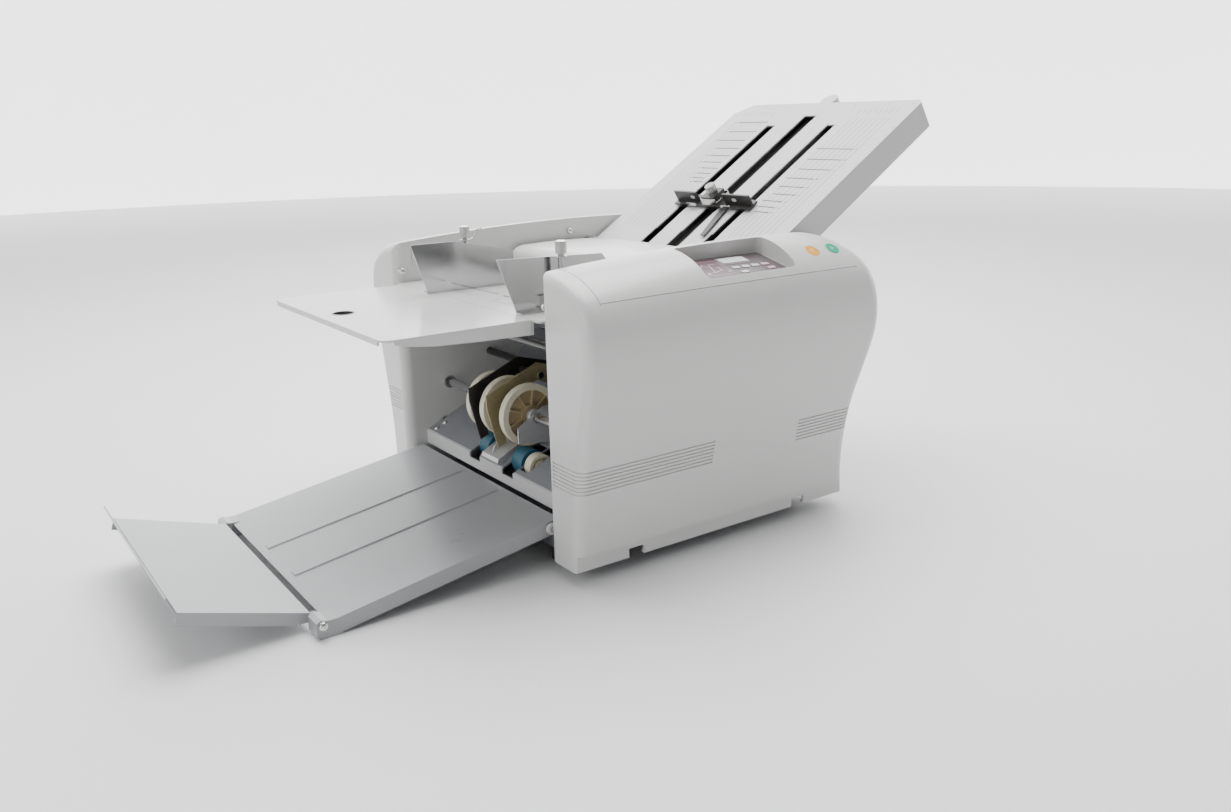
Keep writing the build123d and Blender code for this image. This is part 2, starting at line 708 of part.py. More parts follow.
with BuildPart() as drive_pulley:
    disc(*R2, DRIVE_PULLEY_R, DRIVE_BELT_Y0, DRIVE_BELT_Y1)
    disc(*R2, SHAFT_R, DRIVE_BELT_Y0 - 1, DRIVE_BELT_Y1 + 1, mode=Mode.SUBTRACT)
save(drive_pulley, "drive_pulley")

with BuildPart() as motor:
    disc(*MOTOR, MOTOR_R, 40, PLATE_IN_Y)
    disc(*MOTOR, 12, 28, 40)
    block(MOTOR_X - 26, MOTOR_X + 26, 60, 160, BASE_Z + BASE_T, MOTOR_Z - 20)
    disc(*MOTOR, 4.05, 100, PLATE_IN_Y + 1, mode=Mode.SUBTRACT)
save(motor, "drive_motor")

with BuildPart() as motor_pulley:
    disc(*MOTOR, MOTOR_PULLEY_R, DRIVE_BELT_Y0, DRIVE_BELT_Y1)
    disc(*MOTOR, 4, 120, DRIVE_BELT_Y0)
save(motor_pulley, "motor_pulley")


def belt_loop(start, start_r, end, end_r, y0, y1):
    """Closed flat belt round two pulleys."""
    with BuildSketch(side_plane(y0)) as outer:
        with BuildLine():
            CenterArc(start, start_r + BELT_GAP + BELT_T, 0, 360)
            CenterArc(end, end_r + BELT_GAP + BELT_T, 0, 360)
        make_hull()
    with BuildSketch(side_plane(y0)) as inner:
        with BuildLine():
            CenterArc(start, start_r + BELT_GAP, 0, 360)
            CenterArc(end, end_r + BELT_GAP, 0, 360)
        make_hull()
    extrude(outer.sketch, amount=y0 - y1)
    extrude(inner.sketch, amount=y0 - y1, mode=Mode.SUBTRACT)


with BuildPart() as drive_belt:
    belt_loop(R2, DRIVE_PULLEY_R, MOTOR, MOTOR_PULLEY_R, DRIVE_BELT_Y0 + 1, DRIVE_BELT_Y1 - 1)
save(drive_belt, "drive_belt")

with BuildPart() as feed_belt:
    belt_loop(R1, SIDE_PULLEY_R, FEED, SIDE_PULLEY_R, SIDE_BELT_Y0 + 1, SIDE_BELT_Y1 - 1)

with BuildPart() as exit_belt:
    belt_loop(R4, SIDE_PULLEY_R, EXIT, SIDE_PULLEY_R, SIDE_BELT_Y0 + 1, SIDE_BELT_Y1 - 1)
save_group((feed_belt, exit_belt), "side_belts")

# ---------------------------------------------------------------- exit rollers and stacker

EXIT_ROLLER_W = 22.0
EXIT_WHEEL_Y = -62.0

with BuildPart() as exit_shaft:
    disc(*EXIT, SHAFT_R, NEAR_END_Y, PULLEY_END_Y)
    disc(*EXIT, SIDE_PULLEY_R, SIDE_BELT_Y0, SIDE_BELT_Y1)
save(exit_shaft, "exit_shaft")

with BuildPart() as exit_rollers:
    for y in EXIT_ROLLER_YS:
        disc(*EXIT, EXIT_R, y - EXIT_ROLLER_W / 2, y + EXIT_ROLLER_W / 2)
    disc(*EXIT, SHAFT_R, -80, 80, mode=Mode.SUBTRACT)
save(exit_rollers, "exit_rollers")

with BuildPart() as exit_wheel:
    disc(*EXIT, 15.5, EXIT_WHEEL_Y - 7, EXIT_WHEEL_Y + 5)
    disc(*EXIT, 12, EXIT_WHEEL_Y - 8, EXIT_WHEEL_Y - 3, mode=Mode.SUBTRACT)
    disc(*EXIT, 8, EXIT_WHEEL_Y - 7, EXIT_WHEEL_Y - 3)
    disc(*EXIT, SHAFT_R, -90, 0, mode=Mode.SUBTRACT)
save(exit_wheel, "exit_wheel")

WHEEL_W = 10.0
WHEEL_SPOKES = 9


with BuildPart() as stacker_shaft:
    disc(*WHEEL, SHAFT_R, NEAR_END_Y, PLATE_IN_Y + BEARING_T + 1)
save(stacker_shaft, "stacker_shaft")

with BuildPart() as stacker_wheels:
    for y in WHEEL_YS:
        with BuildSketch(side_plane(y - WHEEL_W / 2)):
            with Locations(WHEEL):
                Circle(WHEEL_R)
                Circle(WHEEL_R - 7, mode=Mode.SUBTRACT)
                Circle(12)
                with PolarLocations(20, WHEEL_SPOKES):
                    Rectangle(22, 2.4)
                Circle(SHAFT_R, mode=Mode.SUBTRACT)
        extrude(amount=-WHEEL_W)
        with BuildSketch(side_plane(y - 1)):
            with Locations(WHEEL):
                Circle(WHEEL_R - 5)
                Circle(SHAFT_R, mode=Mode.SUBTRACT)
        extrude(amount=-2)
save(stacker_wheels, "stacker_wheels")

STACKER_PINS = ((-10, 171), (16, 160))

with BuildPart() as stacker_bracket:
    for y in (36.0, -8.0):
        with BuildSketch(side_plane(y - 1)):
            with BuildLine():
                Polyline(
                    (-84, 157), (-14, 187), (34, 174), (26, 148), (-14, 166), (-66, 145),
                    (-60, 96), (-71, 92), (-83.5, 142), close=True,
                )
            make_face()
        extrude(amount=-2)
    for x, z in STACKER_PINS:
        disc(x, z, 4, -12, 44)
    disc(22, 166, TIE_R, -COVER_IN_Y, COVER_IN_Y)
save(stacker_bracket, "stacker_bracket")

with BuildPart() as deflector:
    with BuildSketch(side_plane(-50)):
        with BuildLine():
            Polyline(
                (-66.5, 124), (-32, 145), (-20, 145), (-20, 100), (-66.5, 105.5), close=True,
            )
        make_face()
        with Locations(WHEEL):
            Circle(SHAFT_R + 1.5, mode=Mode.SUBTRACT)
    extrude(amount=-1.5)
    block(-22, -20, -COVER_IN_Y, -48.5, 122, 134)
save(deflector, "deflector_plate")


def exit_point(distance):
    """Point on the exit plate's upper face, measured up the slope from the lip."""
    return around(LIP_X, LIP_Z, distance, EXIT_SLOPE)


with BuildPart() as exit_plate:
    low = (LIP_X, LIP_Z)
    knee = exit_point(136)
    top = (100, 198)
    with BuildSketch(side_plane(-COVER_IN_Y)):
        with BuildLine():
            Polyline(
                (LIP_X, 55.5), low, knee, top, (top[0] + 1.5, top[1] - 2), (knee[0] + 1, knee[1] - 2.5),
                (LIP_X + 2, LIP_Z - 1.7), (LIP_X + 2, 55.5), close=True,
            )
        make_face()
    extrude(amount=-2 * COVER_IN_Y)
    # windows round the exit rollers and the wheel beside them, open at the lip
    for y in EXIT_ROLLER_YS:
        half = EXIT_ROLLER_W / 2 + 2
        block(-70, -28, y - half, y + half, 60, 110, mode=Mode.SUBTRACT)
        block(LIP_X - 1, -60, y - half, y + half, 66, 90, mode=Mode.SUBTRACT)
    block(-70, -28, EXIT_WHEEL_Y - 10, EXIT_WHEEL_Y + 8, 60, 110, mode=Mode.SUBTRACT)
    disc(*EXIT, SHAFT_R + 3, -COVER_IN_Y - 1, COVER_IN_Y + 1, mode=Mode.SUBTRACT)
save(exit_plate, "exit_plate")

with BuildPart() as sheet_ramp:
    ramp_plane = tilted(LIP_X, LIP_Z + 0.6, EXIT_SLOPE)
    with BuildSketch(ramp_plane):
        with BuildLine():
            Polyline((1, 26), (1, 4), (30, -4), (44, 8), (44, 26), close=True)
        make_face()
    extrude(amount=1.2)
    with BuildSketch(side_plane(2.4)):
        with BuildLine():
            Polyline((-77, 76), (-48, 88), (-40, 108), (-70, 92), close=True)
        make_face()
    extrude(amount=-1.2)
save(sheet_ramp, "sheet_ramp")

# ---------------------------------------------------------------- upper fold table

FOLD1 = tilted(FOLD1_X, FOLD1_Z, FOLD1_TILT)
PAPER_GAP_TOP = -9.5         # upper face of the inner sheet bed, under the slotted plate
SLOT_LOW_S = -60.0
# slots for the stop: lowest y, highest y, upper end along the table
SLOTS = ((-62, -46, 228.0), (-10, 14, 250.6), (51, 69, 227.5))

with BuildPart() as fold_plate:
    with BuildSketch(FOLD1.offset(-SHEET_T)):
        with BuildLine():
            Polyline(
                (-62, -FOLD1_HALF_W), (FOLD1_TOP_S - 6, -FOLD1_HALF_W),
                (FOLD1_TOP_S, -FOLD1_HALF_W + 6), (FOLD1_TOP_S, FOLD1_HALF_W - 25),
                (FOLD1_TOP_S - 22, FOLD1_HALF_W), (-62, FOLD1_HALF_W), (-62, 158),
                (FOLD1_MOUTH_S, 158), (FOLD1_MOUTH_S, -158), (-62, -158), close=True,
            )
        make_face()
        for y0, y1, top_s in SLOTS:
            with Locations(((SLOT_LOW_S + top_s) / 2, (y0 + y1) / 2)):
                Rectangle(top_s - SLOT_LOW_S, y1 - y0, mode=Mode.SUBTRACT)
    extrude(amount=SHEET_T)
save(fold_plate, "fold_table_1_plate")

with BuildPart() as fold_bed:
    with BuildSketch(FOLD1.offset(PAPER_GAP_TOP - SHEET_T)):
        with BuildLine():
            Polyline(
                (-88, -158), (FOLD1_TOP_S - 10, -158), (FOLD1_TOP_S - 10, 140),
                (FOLD1_TOP_S - 26, 158), (-88, 158), close=True,
            )
        make_face()
    extrude(amount=SHEET_T)
save(fold_bed, "fold_table_1_bed")

with BuildPart() as fold_frame:
    # side rails and the end rail, rounded over at the top
    with BuildSketch(FOLD1.offset(-FOLD1_DEPTH)):
        with BuildLine():
            Polyline(
                (-20, -FOLD1_HALF_W), (FOLD1_TOP_S - 6, -FOLD1_HALF_W),
                (FOLD1_TOP_S, -FOLD1_HALF_W + 6), (FOLD1_TOP_S, FOLD1_HALF_W - 25),
                (FOLD1_TOP_S - 22, FOLD1_HALF_W), (-20, FOLD1_HALF_W), close=True,
            )
        make_face()
    extrude(amount=FOLD1_DEPTH - SHEET_T)
    with BuildSketch(FOLD1.offset(-FOLD1_DEPTH + 2)):
        with BuildLine():
            Polyline(
                (-21, -158), (FOLD1_TOP_S - 10, -158), (FOLD1_TOP_S - 10, 140),
                (FOLD1_TOP_S - 26, 158), (-21, 158), close=True,
            )
        make_face()
    extrude(amount=FOLD1_DEPTH, mode=Mode.SUBTRACT)
    low_end = fold_frame.edges().filter_by(Axis.Y).sort_by(Axis.X)[-1]
    fillet(low_end, 9)
    # thin rails that carry the plates down to the mouth
    for y0 in (-FOLD1_HALF_W, 158):
        with BuildSketch(FOLD1.offset(-13)):
            with Locations((-41, y0 + 5)):
                Rectangle(42, 10)
        extrude(amount=13 - SHEET_T)
    # hooks that hang the table between the covers
    for side in (-1, 1):
        with BuildSketch(FOLD1.offset(-20)):
            with Locations((-8, side * (FOLD1_HALF_W + COVER_IN_Y) / 2)):
                Rectangle(16, COVER_IN_Y - FOLD1_HALF_W)
        extrude(amount=14)
save(fold_frame, "fold_table_1_frame")

STOP_LIFT = 2.0


def stop_sketch(plane, height, corners):
    """Thick plate on a fold table, from its corner points."""
    with BuildSketch(plane) as face:
        with BuildLine():
            Polyline(*corners, close=True)
        make_face()
    extrude(face.sketch, amount=height)


with BuildPart() as stop_1:
    # bar that catches the sheet, inside the table
    stop_sketch(FOLD1.offset(-8.5), 6, ((41, -150), (49, -150), (49, 150), (41, 150)))
    # legs through the three slots
    for y in (-54, 2, 60):
        stop_sketch(
            FOLD1.offset(-2.5), STOP_LIFT + 2.5,
            ((38, y - 5), (52, y - 5), (52, y + 5), (38, y + 5)),
        )
    # carriage with raised wings above the table
    stop_sketch(
        FOLD1.offset(STOP_LIFT), 2.5,
        ((36, -72), (54, -72), (58, -40), (58, 44), (54, 76), (36, 76)),
    )
    for y0, y1 in ((-72, -22), (30, 76)):
        stop_sketch(
            FOLD1.offset(STOP_LIFT + 2.5), 14,
            ((44, y0), (46.5, y0), (46.5, y1), (44, y1)),
        )
    stop_sketch(
        FOLD1.offset(STOP_LIFT + 2.5), 12,
        ((38, -10), (60, -10), (60, 14), (38, 14)),
    )
    with BuildSketch(FOLD1.offset(STOP_LIFT + 14.5)):
        with Locations((50, 2)):
            Circle(2.55)
    extrude(amount=-10, mode=Mode.SUBTRACT)

with BuildPart() as pointer:
    stop_sketch(
        FOLD1.offset(STOP_LIFT + 0.2), 1.2,
        ((-20, -42), (-20, -34), (35.5, -20), (35.5, -32)),
    )
save_group((stop_1, pointer), "fold_stop_1")

with BuildPart() as stop_knob_1:
    with BuildSketch(FOLD1.offset(STOP_LIFT + 14.5)):
        with Locations((50, 2)):
            Circle(7)
            with PolarLocations(7, 20):
                Circle(0.6, mode=Mode.SUBTRACT)
    extrude(amount=11)
    with BuildSketch(FOLD1.offset(STOP_LIFT + 5)):
        with Locations((50, 2)):
            Circle(2.5)
    extrude(amount=9.5)
save(stop_knob_1, "stop_knob_1")

with BuildPart() as adjuster:
    # half-round fine adjuster behind the upper edge of the table
    with BuildSketch(FOLD1.offset(-12)):
        with Locations((FOLD1_TOP_S + 7, 0)):
            Circle(13)
        with Locations((FOLD1_TOP_S - 15, 0)):
            Rectangle(30, 40, mode=Mode.SUBTRACT)
    extrude(amount=12)
save(adjuster, "fine_adjuster")

# ---------------------------------------------------------------- lower fold table

FOLD2 = tilted(FOLD2_X, FOLD2_Z, FOLD2_TILT)

with BuildPart() as fold_plate_2:
    with BuildSketch(FOLD2.offset(4)):
        with Locations((FOLD2_LENGTH / 2 + 4, 0)):
            Rectangle(FOLD2_LENGTH - 8, 316)
        with Locations((94, -54), (94, 60)):
            Rectangle(130, 14, mode=Mode.SUBTRACT)
    extrude(amount=SHEET_T)
save(fold_plate_2, "fold_table_2_plate")

with BuildPart() as fold_bed_2:
    with BuildSketch(FOLD2.offset(-4 - SHEET_T)):
        with Locations((FOLD2_LENGTH / 2, 0)):
            Rectangle(FOLD2_LENGTH, 2 * COVER_IN_Y)
    extrude(amount=SHEET_T)
    for side in (-1, 1):
        with BuildSketch(FOLD2.offset(-4)):
            with Locations((FOLD2_LENGTH / 2 + 8, side * 166)):
                Rectangle(FOLD2_LENGTH - 16, 16)
        extrude(amount=8)
save(fold_bed_2, "fold_table_2_bed")

with BuildPart() as stop_2:
    stop_sketch(FOLD2.offset(-3), 6.5, ((76, -150), (84, -150), (84, 150), (76, 150)))
    for y in (-54, 60):
        stop_sketch(
            FOLD2.offset(3), 4.5, ((74, y - 5), (86, y - 5), (86, y + 5), (74, y + 5)),
        )
    stop_sketch(FOLD2.offset(6.5), 3, ((70, -72), (90, -72), (90, 78), (70, 78)))
    with BuildSketch(FOLD2.offset(9.5)):
        with Locations((80, 3)):
            Circle(6)
    extrude(amount=12)
save(stop_2, "fold_stop_2")

# ---------------------------------------------------------------- roller hood

HOOD_T = 2.5
HOOD_TOP_Z = 311.0

HOOD_FRONT_X = 47.0
HOOD_PIN_R = 2.5
PIN_FIT = 0.05

with BuildPart() as hood:
    with BuildSketch(side_plane(-HOOD_HALF_W)):
        with BuildLine():
            skin = Line((HOOD_FRONT_X, 277), (HOOD_FRONT_X, 290))
            brow = ThreePointArc(skin @ 1, (51.5, 304), (64, HOOD_TOP_Z - 1.5))
            roof = Line(brow @ 1, (180, HOOD_TOP_Z))
            tail = ThreePointArc(roof @ 1, (187.5, 309.2), (190, HOOD_AXIS_Z))
            Polyline(tail @ 1, (190, 300), (HOOD_FRONT_X + 20, 300), (HOOD_FRONT_X + 20, 277), skin @ 0)
        make_face()
    extrude(amount=-2 * HOOD_HALF_W)
    # hollow underneath
    with BuildSketch(side_plane(-HOOD_HALF_W + HOOD_T)):
        with BuildLine():
            Polyline(
                (HOOD_FRONT_X + HOOD_T, 276), (HOOD_FRONT_X + HOOD_T, 290),
                (54, 302.5), (65, HOOD_TOP_Z - 4), (179, HOOD_TOP_Z - 2.5), (179, 276), close=True,
            )
        make_face()
    extrude(amount=-2 * (HOOD_HALF_W - HOOD_T), mode=Mode.SUBTRACT)
    disc(HOOD_AXIS_X, HOOD_AXIS_Z, HOOD_PIN_R + PIN_FIT, -HOOD_HALF_W - 1, -150, mode=Mode.SUBTRACT)
    disc(HOOD_AXIS_X, HOOD_AXIS_Z, HOOD_PIN_R + PIN_FIT, 150, HOOD_HALF_W + 1, mode=Mode.SUBTRACT)
save(hood, "roller_hood")

# ---------------------------------------------------------------- delivery tray and its extension

TRAY = tilted(TRAY_X, TRAY_Z, TRAY_TILT)
EXTENSION = tilted(EXT_X, EXT_Z, -EXT_TILT)
TRAY_PIN_R = 3.0
EXT_SCREW_R = 2.5
BEAD_YS = (-44.0, 44.0)
BEAD_W = 13.0
BEAD_H = 1.4
TRAY_LIP = 16.0

with BuildPart() as tray:
    with BuildSketch(TRAY.offset(-SHEET_T)):
        with Locations((TRAY_LENGTH / 2, 0)):
            Rectangle(TRAY_LENGTH, 2 * TRAY_HALF_W)
    extrude(amount=SHEET_T)
    # pressed beads along the tray
    with BuildSketch(TRAY):
        with Locations(*[(TRAY_LENGTH / 2, y) for y in BEAD_YS]):
            Rectangle(TRAY_LENGTH - 16, BEAD_W)
    extrude(amount=BEAD_H, taper=45)
    # folded side lips
    with BuildSketch(TRAY.offset(-TRAY_LIP)):
        with Locations(*[(TRAY_LENGTH / 2 + 4, side * (TRAY_HALF_W - 1)) for side in (-1, 1)]):
            Rectangle(TRAY_LENGTH - 8, 2)
    extrude(amount=TRAY_LIP - SHEET_T)
    with BuildSketch(TRAY.offset(-9)):
        with Locations((1.5 + 9, 0)):
            Rectangle(SHEET_T, 270)
    extrude(amount=9 - SHEET_T)
    # corner blocks that carry the extension and rest on the desk
    for side in (-1, 1):
        y0, y1 = sorted((side * (EXT_HALF_W + 0.8), side * TRAY_HALF_W))
        with BuildSketch(side_plane(y0)):
            with BuildLine():
                Polyline(
                    (-358, 3), (-358, 17), (-353, 19.5), (TRAY_X, 17.5), (-334, 17.6),
                    (-334, 0.5), (-355.5, 0.5), close=True,
                )
            make_face()
        extrude(amount=y0 - y1)
        y2, y3 = sorted((side * (EXT_HALF_W - 6), side * (TRAY_HALF_W + 3)))
        disc(EXT_PIVOT_X, EXT_PIVOT_Z, EXT_SCREW_R, y2, y3, mode=Mode.SUBTRACT)
        y4, y5 = sorted((side * (TRAY_HALF_W - 4), side * (TRAY_HALF_W + 1)))
        disc(
            TRAY_PIVOT_X, TRAY_PIVOT_Z, TRAY_PIN_R + PIN_FIT, y4, y5, mode=Mode.SUBTRACT,
        )
save(tray, "delivery_tray")

with BuildPart() as tray_screws:
    for side in (-1, 1):
        y0, y1 = sorted((side * (EXT_HALF_W - 3), side * TRAY_HALF_W))
        disc(EXT_PIVOT_X, EXT_PIVOT_Z, EXT_SCREW_R, y0, y1)
        y2, y3 = sorted((side * TRAY_HALF_W, side * (TRAY_HALF_W + 2.5)))
        disc(EXT_PIVOT_X, EXT_PIVOT_Z, 4.5, y2, y3)
save(tray_screws, "tray_hinge_screws")

EXT_LIP = 13.0

with BuildPart() as extension:
    with BuildSketch(EXTENSION.offset(-SHEET_T)):
        with Locations((-EXT_LENGTH / 2, 0)):
            Rectangle(EXT_LENGTH, 2 * EXT_HALF_W)
    extrude(amount=SHEET_T)
    with BuildSketch(EXTENSION.offset(-EXT_LIP)):
        for side in (-1, 1):
            with Locations((-EXT_LENGTH / 2 - 5, side * (EXT_HALF_W - 0.75))):
                Rectangle(EXT_LENGTH - 10, 1.5)
    extrude(amount=EXT_LIP - SHEET_T)
    # end stop plate, leaning outwards
    with BuildSketch(side_plane(-EXT_HALF_W)):
        with BuildLine():
            Polyline(
                (-469, 44), (-470.5, 44), (-479.5, 70.5), (-478, 71), close=True,
            )
        make_face()
    extrude(amount=-2 * EXT_HALF_W)
    # pivot ears
    for side in (-1, 1):
        y0, y1 = sorted((side * (EXT_HALF_W - 1.5), side * EXT_HALF_W))
        disc(EXT_PIVOT_X, EXT_PIVOT_Z, 5, y0, y1)
        with BuildSketch(side_plane(y0)):
            with BuildLine():
                Polyline(
                    (EXT_PIVOT_X, EXT_PIVOT_Z - 5), (EXT_PIVOT_X - 2.6, EXT_PIVOT_Z + 4.3),
                    (-368, 21), (-366, 9.5), close=True,
                )
            make_face()
        extrude(amount=y0 - y1)
        disc(EXT_PIVOT_X, EXT_PIVOT_Z, EXT_SCREW_R + PIN_FIT, y0 - 1, y1 + 1, mode=Mode.SUBTRACT)
save(extension, "tray_extension")

with BuildPart() as pins:
    for side in (-1, 1):
        y0, y1 = sorted((side * (TRAY_HALF_W - 6), side * COVER_IN_Y))
        disc(TRAY_PIVOT_X, TRAY_PIVOT_Z, TRAY_PIN_R, y0, y1)
        y2, y3 = sorted((side * 151, side * COVER_IN_Y))
        disc(HOOD_AXIS_X, HOOD_AXIS_Z, HOOD_PIN_R, y2, y3)
save(pins, "hinge_pins")

SCREW_SPOTS = ((-97, 286), (18.6, 294.5), (156.7, 316.4))

with BuildPart() as screws:
    for x, z in SCREW_SPOTS:
        for side in (-1, 1):
            y0, y1 = sorted((side * (COVER_IN_Y - 2.5), side * COVER_IN_Y))
            disc(x, z, 4.5, y0, y1)
            disc(x, z, 1.0, y0, y0 + 0.8, mode=Mode.SUBTRACT)
save(screws, "cover_screws")
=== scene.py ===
"""Looks of a desktop paper folding machine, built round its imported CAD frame."""

import json
import logging
import math
from dataclasses import dataclass, field
from enum import Enum
from typing import Optional, Sequence, Union

import bmesh
import bpy
from mathutils import Matrix, Vector


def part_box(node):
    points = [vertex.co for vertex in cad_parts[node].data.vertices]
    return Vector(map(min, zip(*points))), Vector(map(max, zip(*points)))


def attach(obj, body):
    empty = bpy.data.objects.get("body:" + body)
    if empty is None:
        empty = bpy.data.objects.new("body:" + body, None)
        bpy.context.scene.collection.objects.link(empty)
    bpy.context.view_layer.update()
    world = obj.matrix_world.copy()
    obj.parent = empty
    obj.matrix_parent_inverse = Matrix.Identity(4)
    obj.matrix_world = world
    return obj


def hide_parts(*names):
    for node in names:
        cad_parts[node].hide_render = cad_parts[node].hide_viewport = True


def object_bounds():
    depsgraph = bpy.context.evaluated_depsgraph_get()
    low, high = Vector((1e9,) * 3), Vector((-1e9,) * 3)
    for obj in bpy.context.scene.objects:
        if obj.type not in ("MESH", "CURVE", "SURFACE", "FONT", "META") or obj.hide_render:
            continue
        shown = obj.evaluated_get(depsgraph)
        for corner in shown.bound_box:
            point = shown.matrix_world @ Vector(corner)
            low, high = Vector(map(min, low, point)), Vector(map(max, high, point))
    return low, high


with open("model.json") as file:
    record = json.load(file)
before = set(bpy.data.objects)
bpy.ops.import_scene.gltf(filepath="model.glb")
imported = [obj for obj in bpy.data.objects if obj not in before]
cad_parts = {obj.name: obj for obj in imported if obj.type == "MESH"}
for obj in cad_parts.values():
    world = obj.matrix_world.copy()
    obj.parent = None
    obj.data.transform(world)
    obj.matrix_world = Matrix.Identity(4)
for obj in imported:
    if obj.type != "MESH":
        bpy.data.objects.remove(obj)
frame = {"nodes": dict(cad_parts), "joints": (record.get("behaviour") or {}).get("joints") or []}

LOG = logging.getLogger("folding_machine")
CAD_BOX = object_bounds()
MM = 0.001

Colour = tuple[float, float, float]
Number = Union[int, float]


# ---------------------------------------------------------------- shader maths


class Field:
    """A value inside a shader, whose arithmetic is written as Python."""

    def __init__(self, graph: "Graph", socket: bpy.types.NodeSocket) -> None:
        """Keep the socket and the graph that it belongs to.

        Args:
            graph: The shader under construction.
            socket: The output that carries the value.
        """
        self.graph = graph
        self.socket = socket

    def _math(self, operation: str, first: "Term", second: "Term") -> "Field":
        """Add one Math node.

        Args:
            operation: The Math node's operation.
            first: Its first value.
            second: Its second value.

        Returns:
            The node's result.
        """
        return self.graph.node("ShaderNodeMath", {"operation": operation}, {0: first, 1: second})

    def __add__(self, other: "Term") -> "Field":
        """Sum."""
        return self._math("ADD", self, other)

    def __radd__(self, other: "Term") -> "Field":
        """Sum with the number on the left."""
        return self._math("ADD", other, self)

    def __sub__(self, other: "Term") -> "Field":
        """Difference."""
        return self._math("SUBTRACT", self, other)

    def __rsub__(self, other: "Term") -> "Field":
        """Difference with the number on the left."""
        return self._math("SUBTRACT", other, self)

    def __mul__(self, other: "Term") -> "Field":
        """Product."""
        return self._math("MULTIPLY", self, other)

    def __rmul__(self, other: "Term") -> "Field":
        """Product with the number on the left."""
        return self._math("MULTIPLY", other, self)

    def __gt__(self, edge: "Term") -> "Field":
        """Mask of 1 where the value is above an edge."""
        return self._math("GREATER_THAN", self, edge)

    def __lt__(self, edge: "Term") -> "Field":
        """Mask of 1 where the value is below an edge."""
        return self._math("LESS_THAN", self, edge)

    def __abs__(self) -> "Field":
        """Distance from zero."""
        return self._math("ABSOLUTE", self, 0.0)


Term = Union[Field, Number]


class Graph:
    """A material's node tree under construction."""

    def __init__(self, name: str) -> None:
        """Start an empty material.

        Args:
            name: The material's name.
        """
        self.material = bpy.data.materials.new(name)
        self.material.use_nodes = True
        self.tree = self.material.node_tree
        self.tree.nodes.clear()
        self.place = self.node("ShaderNodeTexCoord", output="Object")

    def node(
        self,
        kind: str,
        settings: Optional[dict] = None,
        inputs: Optional[dict] = None,
        output: Union[int, str] = 0,
    ) -> Field:
        """Add a node: its settings first, then its inputs.

        Args:
            kind: The node's type.
            settings: Attributes of the node; "stops" holds a ramp's positions and colours.
            inputs: Values or fields for its sockets, by name or number.
            output: The socket to read from.

        Returns:
            The chosen output.
        """
        made = self.tree.nodes.new(kind)
        for key, value in (settings or {}).items():
            if key == "stops":
                ramp = made.color_ramp
                for _ in range(len(value) - len(ramp.elements)):
                    ramp.elements.new(0.5)
                for element, (position, colour) in zip(ramp.elements, value):
                    element.position = position
                    element.color = colour
            else:
                setattr(made, key, value)
        for key, value in (inputs or {}).items():
            if isinstance(value, Field):
                self.tree.links.new(value.socket, made.inputs[key])
            else:
                made.inputs[key].default_value = value
        return Field(self, made.outputs[output])

    def part(self, axis: int) -> Field:
        """One coordinate of the surface in the machine's frame, in metres."""
        return self.node("ShaderNodeSeparateXYZ", None, {0: self.place}, axis)

    def noise(self, grain: float, detail: float = 3.0, stretch: Sequence[float] = (1, 1, 1)) -> Field:
        """Cloudy noise.

        Args:
            grain: Size of one cloud in metres.
            detail: Octaves of finer noise.
            stretch: How much finer the noise is along each axis.

        Returns:
            The noise, from 0 to 1.
        """
        scaled = self.node(
            "ShaderNodeVectorMath", {"operation": "MULTIPLY"}, {0: self.place, 1: tuple(stretch)}
        )
        return self.node(
            "ShaderNodeTexNoise", None, {"Vector": scaled, "Scale": 1 / grain, "Detail": detail}
        )

    def blend(self, factor: Term, first: Union[Field, Colour], second: Union[Field, Colour]) -> Field:
        """Mix two colours.

        Args:
            factor: Share of the second colour.
            first: Colour at 0.
            second: Colour at 1.

        Returns:
            The mixed colour.
        """
        ends = [c if isinstance(c, Field) else (*c, 1.0) for c in (first, second)]
        return self.node(
            "ShaderNodeMix",
            {"data_type": "RGBA", "clamp_factor": True},
            {0: factor, 6: ends[0], 7: ends[1]},
            2,
        )

    def close(self, surface: Field) -> bpy.types.Material:
        """Send a shader to the output and hand over the material.

        Args:
            surface: The finished shader.

        Returns:
            The material.
        """
        out = self.tree.nodes.new("ShaderNodeOutputMaterial")
        self.tree.links.new(surface.socket, out.inputs["Surface"])
        return self.material


class Texture(Enum):
    """How a finish is broken up at close range."""

    MOULDED = "spark-eroded plastic"
    SPRAYED = "sprayed paint"
    GROUND = "ground or drawn metal"
    SPANGLED = "zinc spangle"
    CAST = "rough casting"
    PLAIN = "print or film"


